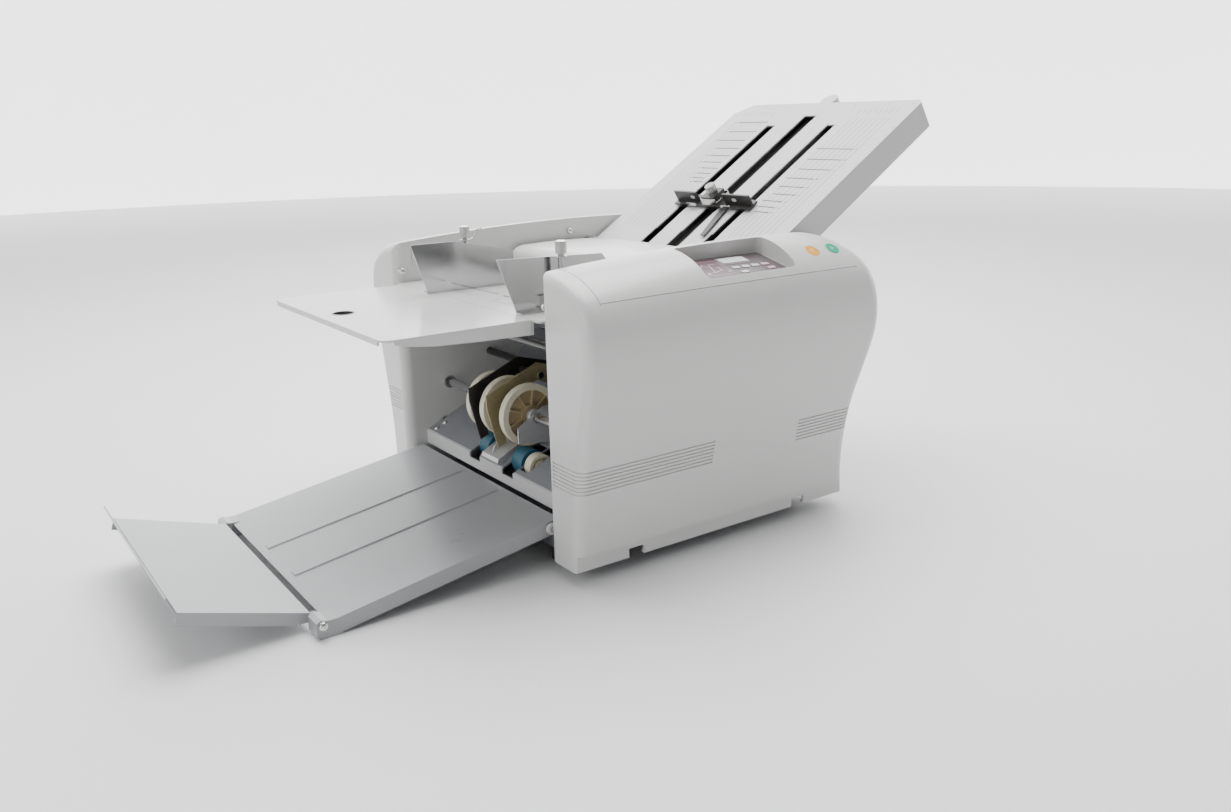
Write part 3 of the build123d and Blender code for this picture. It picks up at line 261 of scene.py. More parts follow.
@dataclass(frozen=True)
class Finish:
    """An opaque surface with fine relief and slow, uneven tone."""

    name: str
    slot: str
    colour: Colour
    roughness: float
    texture: Texture = Texture.SPRAYED
    metallic: float = 0.0
    coat: float = 0.0
    grain: float = 0.5 * MM
    relief: float = 0.01 * MM
    tone: float = 0.05
    soil: float = 0.04
    lay: tuple[float, float, float] = (1.0, 1.0, 1.0)

    def shade(self, graph: Graph) -> Field:
        """Lay this finish in a graph.

        Args:
            graph: The shader under construction.

        Returns:
            The finished shader.
        """
        fine = graph.noise(self.grain, 4.0, self.lay)
        broad = graph.noise(70 * MM, 3.0)
        smudge = graph.noise(18 * MM, 5.0, (1.0, 1.6, 0.7))
        if self.texture is Texture.SPANGLED:
            fine = graph.node(
                "ShaderNodeTexVoronoi",
                {"feature": "SMOOTH_F1"},
                {"Vector": graph.place, "Scale": 1 / (self.grain * 12)},
            )
        darker = tuple(c * (1 - 2.2 * self.tone) for c in self.colour)
        lighter = tuple(min(1.0, c * (1 + self.tone)) for c in self.colour)
        base = graph.blend(broad * 0.7 + fine * 0.3, darker, lighter)
        worn = (smudge > 0.62) * (smudge - 0.62) * (self.soil * 40)
        soiled = tuple(c * 0.72 for c in self.colour)
        base = graph.blend(worn, base, soiled)
        gloss = self.roughness + (broad - 0.5) * 0.10 + (smudge - 0.5) * 0.12 + (fine - 0.5) * 0.06
        normal = graph.node(
            "ShaderNodeBump", None, {"Strength": 0.6, "Distance": self.relief, "Height": fine}
        )
        return graph.node(
            "ShaderNodeBsdfPrincipled",
            None,
            {
                "Base Color": base,
                "Roughness": gloss,
                "Metallic": self.metallic,
                "Coat Weight": self.coat,
                "Coat Roughness": 0.12,
                "Normal": normal,
            },
        )

    def material(self) -> bpy.types.Material:
        """The material of this finish, made once."""
        if self.name not in bpy.data.materials:
            graph = Graph(self.name)
            return graph.close(self.shade(graph))
        return bpy.data.materials[self.name]


@dataclass(frozen=True)
class Zone:
    """Where a second finish takes over on a piece: a span along one axis, or all outside it."""

    axis: int
    low: float
    high: float
    outside: bool = False

    def mask(self, graph: Graph) -> Field:
        """The zone as a mask of 1 inside and 0 outside."""
        along = graph.part(self.axis)
        inside = (along > self.low) * (along < self.high)
        return 1 - inside if self.outside else inside


@dataclass(frozen=True)
class Disc:
    """Zone inside a radius round an axis along Y."""

    centre: tuple[float, float]
    radius: float

    def mask(self, graph: Graph) -> Field:
        """The disc as a mask of 1 inside and 0 outside."""
        dx = graph.part(0) - self.centre[0]
        dz = graph.part(2) - self.centre[1]
        return (dx * dx + dz * dz) < self.radius ** 2


@dataclass(frozen=True)
class TwoFinish:
    """A piece of two materials that were made as one CAD node."""

    name: str
    slot: str
    main: Finish
    other: Finish
    zone: Union[Zone, Disc]

    def material(self) -> bpy.types.Material:
        """The material with both finishes, made once.

        Returns:
            The material.
        """
        if self.name in bpy.data.materials:
            return bpy.data.materials[self.name]
        graph = Graph(self.name)
        mixed = graph.node(
            "ShaderNodeMixShader",
            None,
            {0: self.zone.mask(graph), 1: self.main.shade(graph), 2: self.other.shade(graph)},
        )
        return graph.close(mixed)


AnyFinish = Union[Finish, TwoFinish]

SHELL = Finish(
    "shell_moulding", "shell_white", (0.63, 0.63, 0.615), 0.36, Texture.MOULDED, coat=0.2,
    grain=0.35 * MM, relief=0.03 * MM, tone=0.012, soil=0.01,
)
ENAMEL = Finish(
    "table_enamel", "painted_white", (0.60, 0.60, 0.59), 0.22, coat=0.15,
    grain=2.5 * MM, relief=0.02 * MM, tone=0.015, soil=0.02,
)
POWDER = Finish(
    "fold_table_powder", "fold_table_grey", (0.58, 0.58, 0.585), 0.42,
    grain=0.4 * MM, relief=0.03 * MM, tone=0.02, soil=0.02,
)
TRAY_PAINT = Finish(
    "tray_paint", "tray_grey", (0.34, 0.35, 0.36), 0.32, coat=0.15,
    grain=1.2 * MM, relief=0.015 * MM, tone=0.02, soil=0.008,
)
FRAME_PAINT = Finish(
    "frame_paint", "frame_steel", (0.24, 0.25, 0.27), 0.34,
    relief=0.03 * MM, tone=0.06, soil=0.05,
)
BED_STEEL = Finish(
    "bed_steel", "frame_steel", (0.075, 0.072, 0.07), 0.38, metallic=0.5,
    grain=0.6 * MM, relief=0.02 * MM, tone=0.08, lay=(1.0, 12.0, 1.0),
)
BLACK_PAINT = Finish(
    "black_paint", "black_steel", (0.022, 0.021, 0.020), 0.32, coat=0.1,
    relief=0.03 * MM, tone=0.08,
)
OLIVE_PAINT = Finish(
    "olive_chromate", "black_steel", (0.36, 0.31, 0.17), 0.36, Texture.SPANGLED, metallic=0.25,
    relief=0.02 * MM, tone=0.12,
)
MIRROR = Finish(
    "polished_stainless", "guide_steel", (0.44, 0.44, 0.445), 0.13, Texture.GROUND, metallic=1.0,
    grain=0.8 * MM, relief=0.002 * MM, tone=0.02, soil=0.02, lay=(0.08, 1.0, 6.0),
)
PLATED = Finish(
    "bright_plating", "knob_steel", (0.70, 0.69, 0.67), 0.20, Texture.GROUND, metallic=1.0,
)
ZINC = Finish(
    "zinc_plating", "zinc_steel", (0.60, 0.60, 0.605), 0.32, Texture.SPANGLED, metallic=0.6,
    tone=0.07,
)
SHAFT = Finish(
    "ground_shaft", "zinc_steel", (0.60, 0.60, 0.61), 0.24, Texture.GROUND, metallic=1.0,
    relief=0.004 * MM, tone=0.04, lay=(1.0, 9.0, 1.0),
)
RUBBER = Finish(
    "roller_covering", "roller_rubber", (0.045, 0.045, 0.048), 0.62, Texture.MOULDED,
    relief=0.05 * MM, tone=0.10, soil=0.08, lay=(1.0, 4.0, 1.0),
)
TEAL_RUBBER = Finish(
    "teal_rubber", "blue_rubber", (0.02, 0.12, 0.18), 0.55, Texture.MOULDED,
    relief=0.05 * MM, tone=0.10, soil=0.08,
)
IVORY = Finish(
    "ivory_nylon", "ivory_plastic", (0.74, 0.69, 0.52), 0.42, Texture.MOULDED,
    grain=0.6 * MM, relief=0.02 * MM, soil=0.06,
)
TAN = Finish(
    "tan_nylon", "ivory_plastic", (0.42, 0.33, 0.19), 0.45, Texture.MOULDED,
    grain=0.6 * MM, relief=0.02 * MM, tone=0.06, soil=0.08,
)
FILM = Finish(
    "panel_film", "panel_dark", (0.085, 0.066, 0.070), 0.34, Texture.MOULDED,
    grain=0.25 * MM, tone=0.03, soil=0.01,
)
MAUVE_FILM = Finish(
    "panel_mauve", "panel_dark", (0.12, 0.055, 0.075), 0.36, Texture.MOULDED,
    grain=0.25 * MM, tone=0.03, soil=0.01,
)
PANEL_PRINT = Finish(
    "panel_print", "panel_light", (0.72, 0.66, 0.68), 0.35, Texture.PLAIN, tone=0.01, soil=0.0,
)
WINDOW = Finish(
    "display_glass", "panel_light", (0.88, 0.88, 0.89), 0.12, Texture.PLAIN, coat=0.5,
    grain=1.0 * MM, relief=0.002 * MM, tone=0.01, soil=0.0,
)
KEY_LIGHT = Finish(
    "key_light", "panel_light", (0.66, 0.64, 0.64), 0.35, Texture.PLAIN, tone=0.01, soil=0.0,
)
KEY_MAUVE = Finish(
    "key_mauve", "panel_light", (0.62, 0.40, 0.52), 0.35, Texture.PLAIN, tone=0.01, soil=0.0,
)
GREEN = Finish(
    "green_cap", "button_green", (0.01, 0.42, 0.24), 0.22, Texture.PLAIN, coat=0.4,
    grain=0.8 * MM, relief=0.004 * MM, tone=0.04, soil=0.0,
)
AMBER = Finish(
    "amber_cap", "button_amber", (0.90, 0.40, 0.02), 0.22, Texture.PLAIN, coat=0.4,
    grain=0.8 * MM, relief=0.004 * MM, tone=0.04, soil=0.0,
)
BLACK_MOULDING = Finish(
    "black_moulding", "black_plastic", (0.022, 0.022, 0.024), 0.45, Texture.MOULDED,
    grain=0.4 * MM, relief=0.04 * MM, tone=0.06,
)
BOARD = Finish(
    "board_resist", "board_green", (0.02, 0.13, 0.05), 0.30, Texture.PLAIN, coat=0.2,
    grain=1.5 * MM, relief=0.03 * MM, tone=0.10,
)
CASTING = Finish(
    "motor_casting", "motor_grey", (0.36, 0.36, 0.37), 0.45, Texture.CAST, metallic=0.7,
    grain=1.2 * MM, relief=0.10 * MM, tone=0.08, soil=0.08,
)
BELT = Finish(
    "belt_rubber", "roller_rubber", (0.025, 0.025, 0.025), 0.60, Texture.MOULDED,
    grain=0.8 * MM, relief=0.05 * MM, tone=0.08,
)
INK = Finish("scale_ink", "fold_table_grey", (0.03, 0.03, 0.035), 0.55, Texture.PLAIN, tone=0.03)
FINE_INK = Finish("fine_ink", "fold_table_grey", (0.10, 0.10, 0.11), 0.55, Texture.PLAIN, tone=0.03)
RED_INK = Finish("red_ink", "fold_table_grey", (0.52, 0.05, 0.06), 0.55, Texture.PLAIN, tone=0.03)


def two(name: str, main: Finish, other: Finish, zone: Union[Zone, Disc]) -> TwoFinish:
    """Join two finishes in a piece, on the main one's slot."""
    return TwoFinish(name, main.slot, main, other, zone)


# ---------------------------------------------------------------- places and mesh work


def joint(name: str) -> dict:
    """The record's entry for a joint."""
    return next(entry for entry in frame["joints"] if entry["name"] == name)


def extent(node: str, direction: Vector) -> tuple[float, float]:
    """Lowest and highest reach of a CAD node along a direction."""
    reach = [direction.dot(vertex.co) for vertex in frame["nodes"][node].data.vertices]
    return min(reach), max(reach)


def middle(node: str) -> Vector:
    """Middle of a CAD node's box."""
    low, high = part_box(node)
    return (low + high) / 2


@dataclass(frozen=True)
class Datum:
    """A flat working plane: right and up lie on it, out leaves it."""

    origin: Vector
    right: Vector
    up: Vector

    @property
    def out(self) -> Vector:
        """Direction away from the plane."""
        return self.right.cross(self.up)

    def at(self, right: float, up: float, out: float = 0.0) -> Vector:
        """Point at distances along the three directions."""
        return self.origin + self.right * right + self.up * up + self.out * out

    def matrix(self) -> Matrix:
        """Transform that lays flat work on the plane."""
        turned = Matrix((self.right, self.up, self.out)).transposed().to_4x4()
        return Matrix.Translation(self.origin) @ turned


@dataclass
class Workpiece:
    """A mesh being made, with the simple operations a model maker uses."""

    name: str
    mesh: bmesh.types.BMesh = field(default_factory=bmesh.new)

    def prism(self, datum: Datum, outline: Sequence[Sequence[float]], low: float, high: float) -> None:
        """Raise a flat outline into a solid.

        Args:
            datum: The plane that the outline lies on.
            outline: Corner points, right and up, anticlockwise.
            low: Height of its underside.
            high: Height of its top.
        """
        bottom = [self.mesh.verts.new(datum.at(x, y, low)) for x, y in outline]
        top = [self.mesh.verts.new(datum.at(x, y, high)) for x, y in outline]
        self.mesh.faces.new(bottom[::-1])
        self.mesh.faces.new(top)
        for i in range(len(outline)):
            j = (i + 1) % len(outline)
            self.mesh.faces.new((bottom[i], bottom[j], top[j], top[i]))

    def bar(
        self, datum: Datum, x: tuple[float, float], y: tuple[float, float], z: tuple[float, float]
    ) -> None:
        """Rectangular bar between three pairs of limits on a plane.

        Args:
            datum: The plane.
            x: Limits to the right.
            y: Limits upwards.
            z: Limits outwards.
        """
        corners = ((x[0], y[0]), (x[1], y[0]), (x[1], y[1]), (x[0], y[1]))
        self.prism(datum, corners, z[0], z[1])

    def stroke(self, datum: Datum, path: Sequence[Sequence[float]], width: float, height: float) -> None:
        """Printed or raised line along straight runs.

        Args:
            datum: The plane.
            path: Points of right and up.
            width: Width of the line.
            height: How far it stands proud.
        """
        for (x0, y0), (x1, y1) in zip(path, path[1:]):
            run = math.hypot(x1 - x0, y1 - y0)
            ux, uy = (x1 - x0) / run * width / 2, (y1 - y0) / run * width / 2
            corners = (
                (x0 - ux + uy, y0 - uy - ux), (x1 + ux + uy, y1 + uy - ux),
                (x1 + ux - uy, y1 + uy + ux), (x0 - ux - uy, y0 - uy + ux),
            )
            self.prism(datum, corners, 0.0, height)

    def turn(
        self,
        datum: Datum,
        profile: Sequence[Sequence[float]],
        centre: tuple[float, float] = (0.0, 0.0),
        steps: int = 32,
    ) -> None:
        """Turn a profile of radius and height round an axis standing on a plane.

        Args:
            datum: The plane that the axis stands on.
            profile: Points of radius and height, from the foot to the top.
            centre: Where the axis stands on the plane.
            steps: Facets round the turn.
        """
        rings = []
        for radius, height in profile:
            ring = []
            for step in range(steps):
                angle = 2 * math.pi * step / steps
                x = centre[0] + radius * math.cos(angle)
                y = centre[1] + radius * math.sin(angle)
                ring.append(self.mesh.verts.new(datum.at(x, y, height)))
            rings.append(ring)
        for low, high in zip(rings, rings[1:]):
            for i in range(steps):
                j = (i + 1) % steps
                self.mesh.faces.new((low[i], low[j], high[j], high[i]))
        self.mesh.faces.new(rings[0][::-1])
        self.mesh.faces.new(rings[-1])

    def figure(self, datum: Datum, text: str, size: float, x: float, y: float) -> None:
        """Print a generic number flat on a plane.

        Args:
            datum: The plane.
            text: The digits.
            size: Height of the type.
            x: Place to the right.
            y: Place upwards.
        """
        curve = bpy.data.curves.new("figure", "FONT")
        curve.body = text
        curve.size = size
        curve.extrude = PRINT_T
        curve.resolution_u = 2
        holder = bpy.data.objects.new("figure", curve)
        flat = holder.to_mesh()
        flat.transform(datum.matrix() @ Matrix.Translation((x, y, 0)))
        self.mesh.from_mesh(flat)
        holder.to_mesh_clear()
        bpy.data.objects.remove(holder)
        bpy.data.curves.remove(curve)

    def mount(
        self, finish: AnyFinish, body: str, bevel: float = 0.0, smooth: bool = False
    ) -> bpy.types.Object:
        """Finish the mesh, dress it and let it ride on a body.

        Args:
            finish: Its finish.
            body: The body that it rides on.
            bevel: Width of the broken edges, or 0 for none.
            smooth: Whether round faces shade smoothly.

        Returns:
            The new piece.
        """
        bmesh.ops.recalc_face_normals(self.mesh, faces=self.mesh.faces)
        data = bpy.data.meshes.new(self.name)
        self.mesh.to_mesh(data)
        self.mesh.free()
        piece = bpy.data.objects.new(self.name, data)
        bpy.context.scene.collection.objects.link(piece)
        if smooth:
            data.shade_smooth()
            data.set_sharp_from_angle(angle=math.radians(35))
        if bevel:
            edge = piece.modifiers.new("edges", "BEVEL")
            edge.width = bevel
            edge.segments = 2
            edge.limit_method = "ANGLE"
            edge.angle_limit = math.radians(40)
        data.materials.append(finish.material())
        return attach(piece, body)


def rounded(width: float, height: float, radius: float, steps: int = 6) -> list[tuple[float, float]]:
    """Outline of a rectangle with round corners, about its middle.

    Args:
        width: Size to the right.
        height: Size upwards.
        radius: Radius of the corners.
        steps: Facets round a corner.

    Returns:
        Its points, anticlockwise.
    """
    outline = []
    for quarter, (sx, sy) in enumerate(((1, 1), (-1, 1), (-1, -1), (1, -1))):
        cx, cy = sx * (width / 2 - radius), sy * (height / 2 - radius)
        for step in range(steps + 1):
            angle = math.pi / 2 * (quarter + step / steps)
            outline.append((cx + radius * math.cos(angle), cy + radius * math.sin(angle)))
    return outline


def shifted(outline: Sequence[Sequence[float]], x: float, y: float) -> list[tuple[float, float]]:
    """An outline moved on its plane."""
    return [(px + x, py + y) for px, py in outline]


def dress(finish: AnyFinish, *nodes: str) -> None:
    """Give CAD nodes their finish."""
    for node in nodes:
        for holder in frame["nodes"][node].material_slots:
            holder.material = finish.material()


PRINT_T = 0.05 * MM
RIGHT = Vector((1, 0, 0))
BACK = Vector((0, 1, 0))
UP = Vector((0, 0, 1))
DOME = ((1.0, 0.0), (1.0, 0.25), (0.86, 0.5), (0.55, 0.66), (0.3, 0.7))


def screw_head(work: Workpiece, datum: Datum, radius: float, centre: tuple[float, float] = (0, 0)) -> None:
    """Domed screw head with a cross drive.

    Args:
        work: The mesh to add it to.
        datum: The plane that it sits on.
        radius: The head's radius.
        centre: Where it sits on the plane.
    """
    work.turn(datum, [(r * radius, h * radius) for r, h in DOME], centre)
    crown = DOME[-1][1] * radius
    for long, wide in ((0.42, 0.09), (0.09, 0.42)):
        work.bar(
            datum,
            (centre[0] - long * radius, centre[0] + long * radius),
            (centre[1] - wide * radius, centre[1] + wide * radius),
            (crown - 0.1 * radius, crown + 0.04 * radius),
        )


# ---------------------------------------------------------------- covers and chassis


@dataclass
class Covers:
    """The two moulded side covers, their screws and the rear panel."""

    screw_radius: float = 4.3 * MM
    foot_radius: float = 12.4 * MM
    foot_inset: float = 16 * MM
    louvre_rows: int = 6
    louvre_pitch: float = 9 * MM
    louvre_length: float = 56 * MM

    def dress(self) -> None:
        """Give the covers and their fittings their finishes."""
        dress(SHELL, "side_cover_near", "side_cover_far")
        dress(POWDER, "rear_panel")
        dress(FRAME_PAINT, "base_plate", "side_plate_near", "side_plate_far")
        dress(RUBBER, "rubber_feet")
        dress(PLATED, "cover_screws")
        dress(SHAFT, "hinge_pins")
        dress(BLACK_PAINT, "tie_rods")
        dress(ZINC, "shaft_bearings")

    def build_screws(self) -> None:
        """Domed heads on the screws along the covers' inner walls."""
        low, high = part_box("cover_screws")
        spots = sorted({self._spot(v.co) for v in frame["nodes"]["cover_screws"].data.vertices})
        work = Workpiece("cover_screw_heads")
        for x, z in spots:
            near = Datum(Vector((x, low.y + 2.5 * MM, z)), -RIGHT, UP)
            far = Datum(Vector((x, high.y - 2.5 * MM, z)), RIGHT, UP)
            for datum in (near, far):
                screw_head(work, datum, self.screw_radius)
        work.mount(PLATED, "chassis", smooth=True)

    def _spot(self, point: Vector) -> tuple[float, float]:
        """Centre of the screw that a point of the node belongs to.

        Args:
            point: A point on the node.

        Returns:
            The screw's x and z.
        """
        low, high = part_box("cover_screws")
        reach = 4.5 * MM
        ends = ((low.x + reach, low.z + reach), (high.x - reach, high.z - reach))
        for x, z in ends:
            if abs(point.x - x) < 2 * reach:
                return (round(x, 5), round(z, 5))
        inner = [v.co for v in frame["nodes"]["cover_screws"].data.vertices
                 if all(abs(v.co.x - x) > 2 * reach for x, _ in ends)]
        xs, zs = [p.x for p in inner], [p.z for p in inner]
        return (round((min(xs) + max(xs)) / 2, 5), round((min(zs) + max(zs)) / 2, 5))

    def build_rear(self) -> None:
        """Screws and louvres on the rear panel."""
        low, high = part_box("rear_panel")
        datum = Datum(Vector((high.x, 0, low.z)), BACK, UP)
        heads = Workpiece("rear_panel_screws")
        for y in (low.y + 9 * MM, -40 * MM, 60 * MM, high.y - 9 * MM):
            for z in (10 * MM, high.z - low.z - 9 * MM):
                screw_head(heads, datum, 3.4 * MM, (y, z))
        heads.mount(PLATED, "chassis", smooth=True)
        louvres = Workpiece("rear_louvres")
        for row in range(self.louvre_rows):
            z = 30 * MM + row * self.louvre_pitch
            hood = ((0, 0), (0, 5.0 * MM), (1.8 * MM, 0.9 * MM), (1.8 * MM, 0.0))
            for y0 in (20 * MM, 88 * MM):
                side = Datum(Vector((high.x, y0 + self.louvre_length, low.z + z)), RIGHT, UP)
                louvres.prism(side, hood, 0.0, self.louvre_length)
        louvres.mount(POWDER, "chassis", bevel=0.4 * MM)

    def build_feet(self) -> None:
        """Moulded ring at the sole of each foot."""
        low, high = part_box("rubber_feet")
        work = Workpiece("foot_rims")
        for x in (low.x + self.foot_inset, high.x - self.foot_inset):
            for y in (low.y + self.foot_inset, high.y - self.foot_inset):
                datum = Datum(Vector((x, y, low.z)), RIGHT, BACK)
                r = self.foot_radius
                work.turn(datum, ((r, 0.2 * MM), (r + 1.4 * MM, 1.2 * MM), (r + 1.6 * MM, 3 * MM)))
        work.mount(BLACK_MOULDING, "chassis", smooth=True)

    def build(self) -> None:
        """Build and dress the covers."""
        self.dress()
        self.build_screws()
        self.build_rear()
        self.build_feet()


@dataclass
class PowerInlet:
    """Mains inlet and rocker switch in the rear panel."""

    mark_lift: float = 0.5 * MM
    mark_offset: float = 6.2 * MM

    def build(self) -> None:
        """Dress the moulding and add generic switch marks."""
        dress(BLACK_MOULDING, "power_inlet", "power_switch")
        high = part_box("power_switch")[1]
        centre = middle("power_switch")
        axis = Vector(joint("power_rock")["pos_m"])
        datum = Datum(Vector((high.x - 1.1 * MM, centre.y, axis.z)), BACK, UP)
        marks = Workpiece("switch_marks")
        lift = self.mark_lift
        bar = shifted(rounded(1.0 * MM, 3.6 * MM, 0.4 * MM), 0, self.mark_offset)
        marks.prism(datum, bar, 0, lift)
        ring = rounded(4.2 * MM, 4.2 * MM, 2.0 * MM)
        ring.append(ring[0])
        marks.stroke(datum, shifted(ring, 0, -self.mark_offset), 0.5 * MM, lift)
        marks.mount(PANEL_PRINT, "power_switch")


# ---------------------------------------------------------------- control panel


@dataclass
class ControlPanel:
    """Membrane panel, its print, keys and window, and the two push buttons."""

    film_gap: float = 3.0 * MM
    line: float = 0.7 * MM
    key_pitch: float = 14 * MM

    def datum(self) -> Datum:
        """Plane on the membrane, about its middle.

        Returns:
            The plane.
        """
        node = frame["nodes"]["control_panel"]
        faces = [p for p in node.data.polygons if p.normal.z > 0.5]
        normal = max(faces, key=lambda p: p.area).normal.copy()
        right = RIGHT
        up = normal.cross(right)
        centre = middle("control_panel")
        top = extent("control_panel", normal)[1]
        return Datum(centre + normal * (top - normal.dot(centre)), right, up)

    def build_print(self, datum: Datum) -> None:
        """Mauve field with a line diagram of the sheet path, and small generic marks.

        Args:
            datum: The membrane's upper face.
        """
        low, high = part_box("control_panel")
        half = (high.x - low.x) / 2
        reach = extent("control_panel", datum.up)
        height = reach[1] - reach[0]
        film = Workpiece("panel_field")
        wide = half * 0.80
        left = -half + self.film_gap + wide / 2
        film.prism(
            datum, shifted(rounded(wide, height - 2 * self.film_gap, 3 * MM), left, 0), 0, PRINT_T
        )
        film.mount(MAUVE_FILM, "chassis")
        lines = Workpiece("panel_diagram")
        level = Datum(datum.at(left, 0, PRINT_T), datum.right, datum.up)
        frame_line = rounded(wide * 0.82, height * 0.66, 4 * MM)
        frame_line.append(frame_line[0])
        lines.stroke(level, frame_line, self.line * 0.6, PRINT_T)
        x, y = wide * 0.30, height * 0.20
        for path in (
            ((-x, -y), (-x * 0.2, -y), (x * 0.3, y * 0.9), (x * 0.9, y * 0.9)),
            ((-x * 0.2, -y), (x * 0.75, -y * 0.6), (x * 0.75, y * 0.2)),
            ((-x * 0.9, y * 0.1), (-x * 0.3, y), (-x * 0.05, y * 0.3)),
            ((x * 0.3, y * 0.9), (x * 0.05, -y * 0.2)),
        ):
            lines.stroke(level, path, self.line, PRINT_T)
        for x0, y0 in ((-x * 1.25, y * 0.2), (x * 1.15, -y * 1.1), (-x * 0.9, -y * 1.25)):
            lines.prism(level, shifted(rounded(4 * MM, 1.4 * MM, 0.4 * MM), x0, y0), 0, PRINT_T)
        lines.mount(PANEL_PRINT, "chassis")

    def build_keys(self, datum: Datum) -> None:
        """Legends over the keys and a fine frame round the window.

        Args:
            datum: The membrane's upper face.
        """
        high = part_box("panel_keys")[1]
        split = high.x - 11 * MM
        zone = Zone(0, split, high.x + MM)
        dress(two("panel_keys", KEY_LIGHT, KEY_MAUVE, zone), "panel_keys")
        dress(WINDOW, "display_window")
        window = middle("display_window") - datum.origin
        x, y = window.dot(datum.right), window.dot(datum.up)
        trim = Workpiece("window_frame")
        outline = shifted(rounded(39 * MM, 16 * MM, 2 * MM), x, y)
        outline.append(outline[0])
        trim.stroke(datum, outline, 0.5 * MM, 0.25 * MM)
        trim.mount(KEY_LIGHT, "chassis")
        marks = Workpiece("key_legends")
        centre = (middle("panel_keys") - datum.origin).dot(datum.right)
        for step in range(-1, 3):
            spot = centre + (step - 0.5) * self.key_pitch
            marks.stroke(datum, ((spot - 2 * MM, -0.8 * MM), (spot + 2 * MM, -0.8 * MM)), 0.5 * MM, PRINT_T)
        marks.mount(PANEL_PRINT, "chassis")

    def build_buttons(self) -> None:
        """A generic sign on the cap of each of the two buttons."""
        for name, finish in (("start", GREEN), ("stop", AMBER)):
            node = f"{name}_button"
            dress(finish, node)
            out = -Vector(joint(f"{name}_press")["axis"]).normalized()
            right = RIGHT
            centre = middle(node)
            top = extent(node, out)[1]
            seat = Vector(joint(f"{name}_press")["pos_m"])
            seat += out * (top - out.dot(seat))
            datum = Datum(Vector((centre.x, seat.y, seat.z)), right, out.cross(right))
            sign = Workpiece(f"{name}_sign")
            if name == "start":
                path = ((-1.8 * MM, -2.4 * MM), (2.6 * MM, 0), (-1.8 * MM, 2.4 * MM), (-1.8 * MM, -2.4 * MM))
            else:
                side = 2.1 * MM
                path = ((-side, -side), (side, -side), (side, side), (-side, side), (-side, -side))
            sign.stroke(datum, path, 0.6 * MM, 2 * PRINT_T)
            sign.mount(PANEL_PRINT, node)

    def build(self) -> None:
        """Build and dress the panel."""
        dress(FILM, "control_panel")
        datum = self.datum()
        self.build_print(datum)
        self.build_keys(datum)
        self.build_buttons()
        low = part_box("circuit_board")[0]
        chips = Zone(1, low.y - MM, low.y + 5.9 * MM)
        dress(two("circuit_board", BOARD, BLACK_MOULDING, chips), "circuit_board")


# ---------------------------------------------------------------- feed table and guides


@dataclass
class FeedTable:
    """Enamelled feed table with its printed width scale."""

    tick_pitch: float = 5 * MM
    tick_count: int = 25
    figure_size: float = 4.2 * MM
    hole: tuple[float, float] = (28.5 * MM, 13 * MM)

    def build(self) -> None:
        """Dress the table and print the scale beside the guide slots."""
        dress(ENAMEL, "feed_table_outer", "feed_table_inner")
        dress(FRAME_PAINT, "table_brackets", "infeed_plate")
        dress(RUBBER, "separation_pad")
        low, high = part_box("feed_table_inner")
        datum = Datum(
            Vector((low.x + 24 * MM, 0, high.z)), -BACK, RIGHT
        )
        marks = Workpiece("width_scale")
        for side in (-1, 1):
            for step in range(self.tick_count):
                y = side * (24 * MM + step * self.tick_pitch)
                length = 5 * MM if step % 2 else 8 * MM
                marks.stroke(datum, ((y, 0), (y, length)), 0.4 * MM, PRINT_T)
                if step % 6 == 0:
                    marks.figure(datum, str(10 + step * 5), self.figure_size, y - 3 * MM, 10 * MM)
        marks.mount(FINE_INK, "chassis")
        self.build_hole_shade_bush()

    def build_hole_shade_bush(self) -> None:
        """Black bush lining the finger hole; its black is painted shade, standing in for the shade inside the
        hole.
        """
        low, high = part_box("feed_table_outer")
        spot = Vector((low.x + self.hole[0], self.hole[1], high.z))
        datum = Datum(spot, RIGHT, BACK)
        bush = Workpiece("finger_hole_shade_bush")
        profile = ((10.9, -6.0), (10.9, 0.0), (11.9, 0.0), (11.9, 0.35), (10.1, 0.35), (9.9, -6.0))
        rings = []
        for radius, height in profile:
            turn = [math.tau * step / 40 for step in range(40)]
            rings.append([
                bush.mesh.verts.new(
                    datum.at(radius * MM * math.cos(a), radius * MM * math.sin(a), height * MM)
                )
                for a in turn
            ])
        for near, far in zip(rings, rings[1:] + rings[:1]):
            for i in range(40):
                j = (i + 1) % 40
                bush.mesh.faces.new((near[i], near[j], far[j], far[i]))
        # Painted shade: the bush's black moulding darkens the finger hole, where only shade falls.
        bush.mount(BLACK_MOULDING, "chassis", smooth=True)


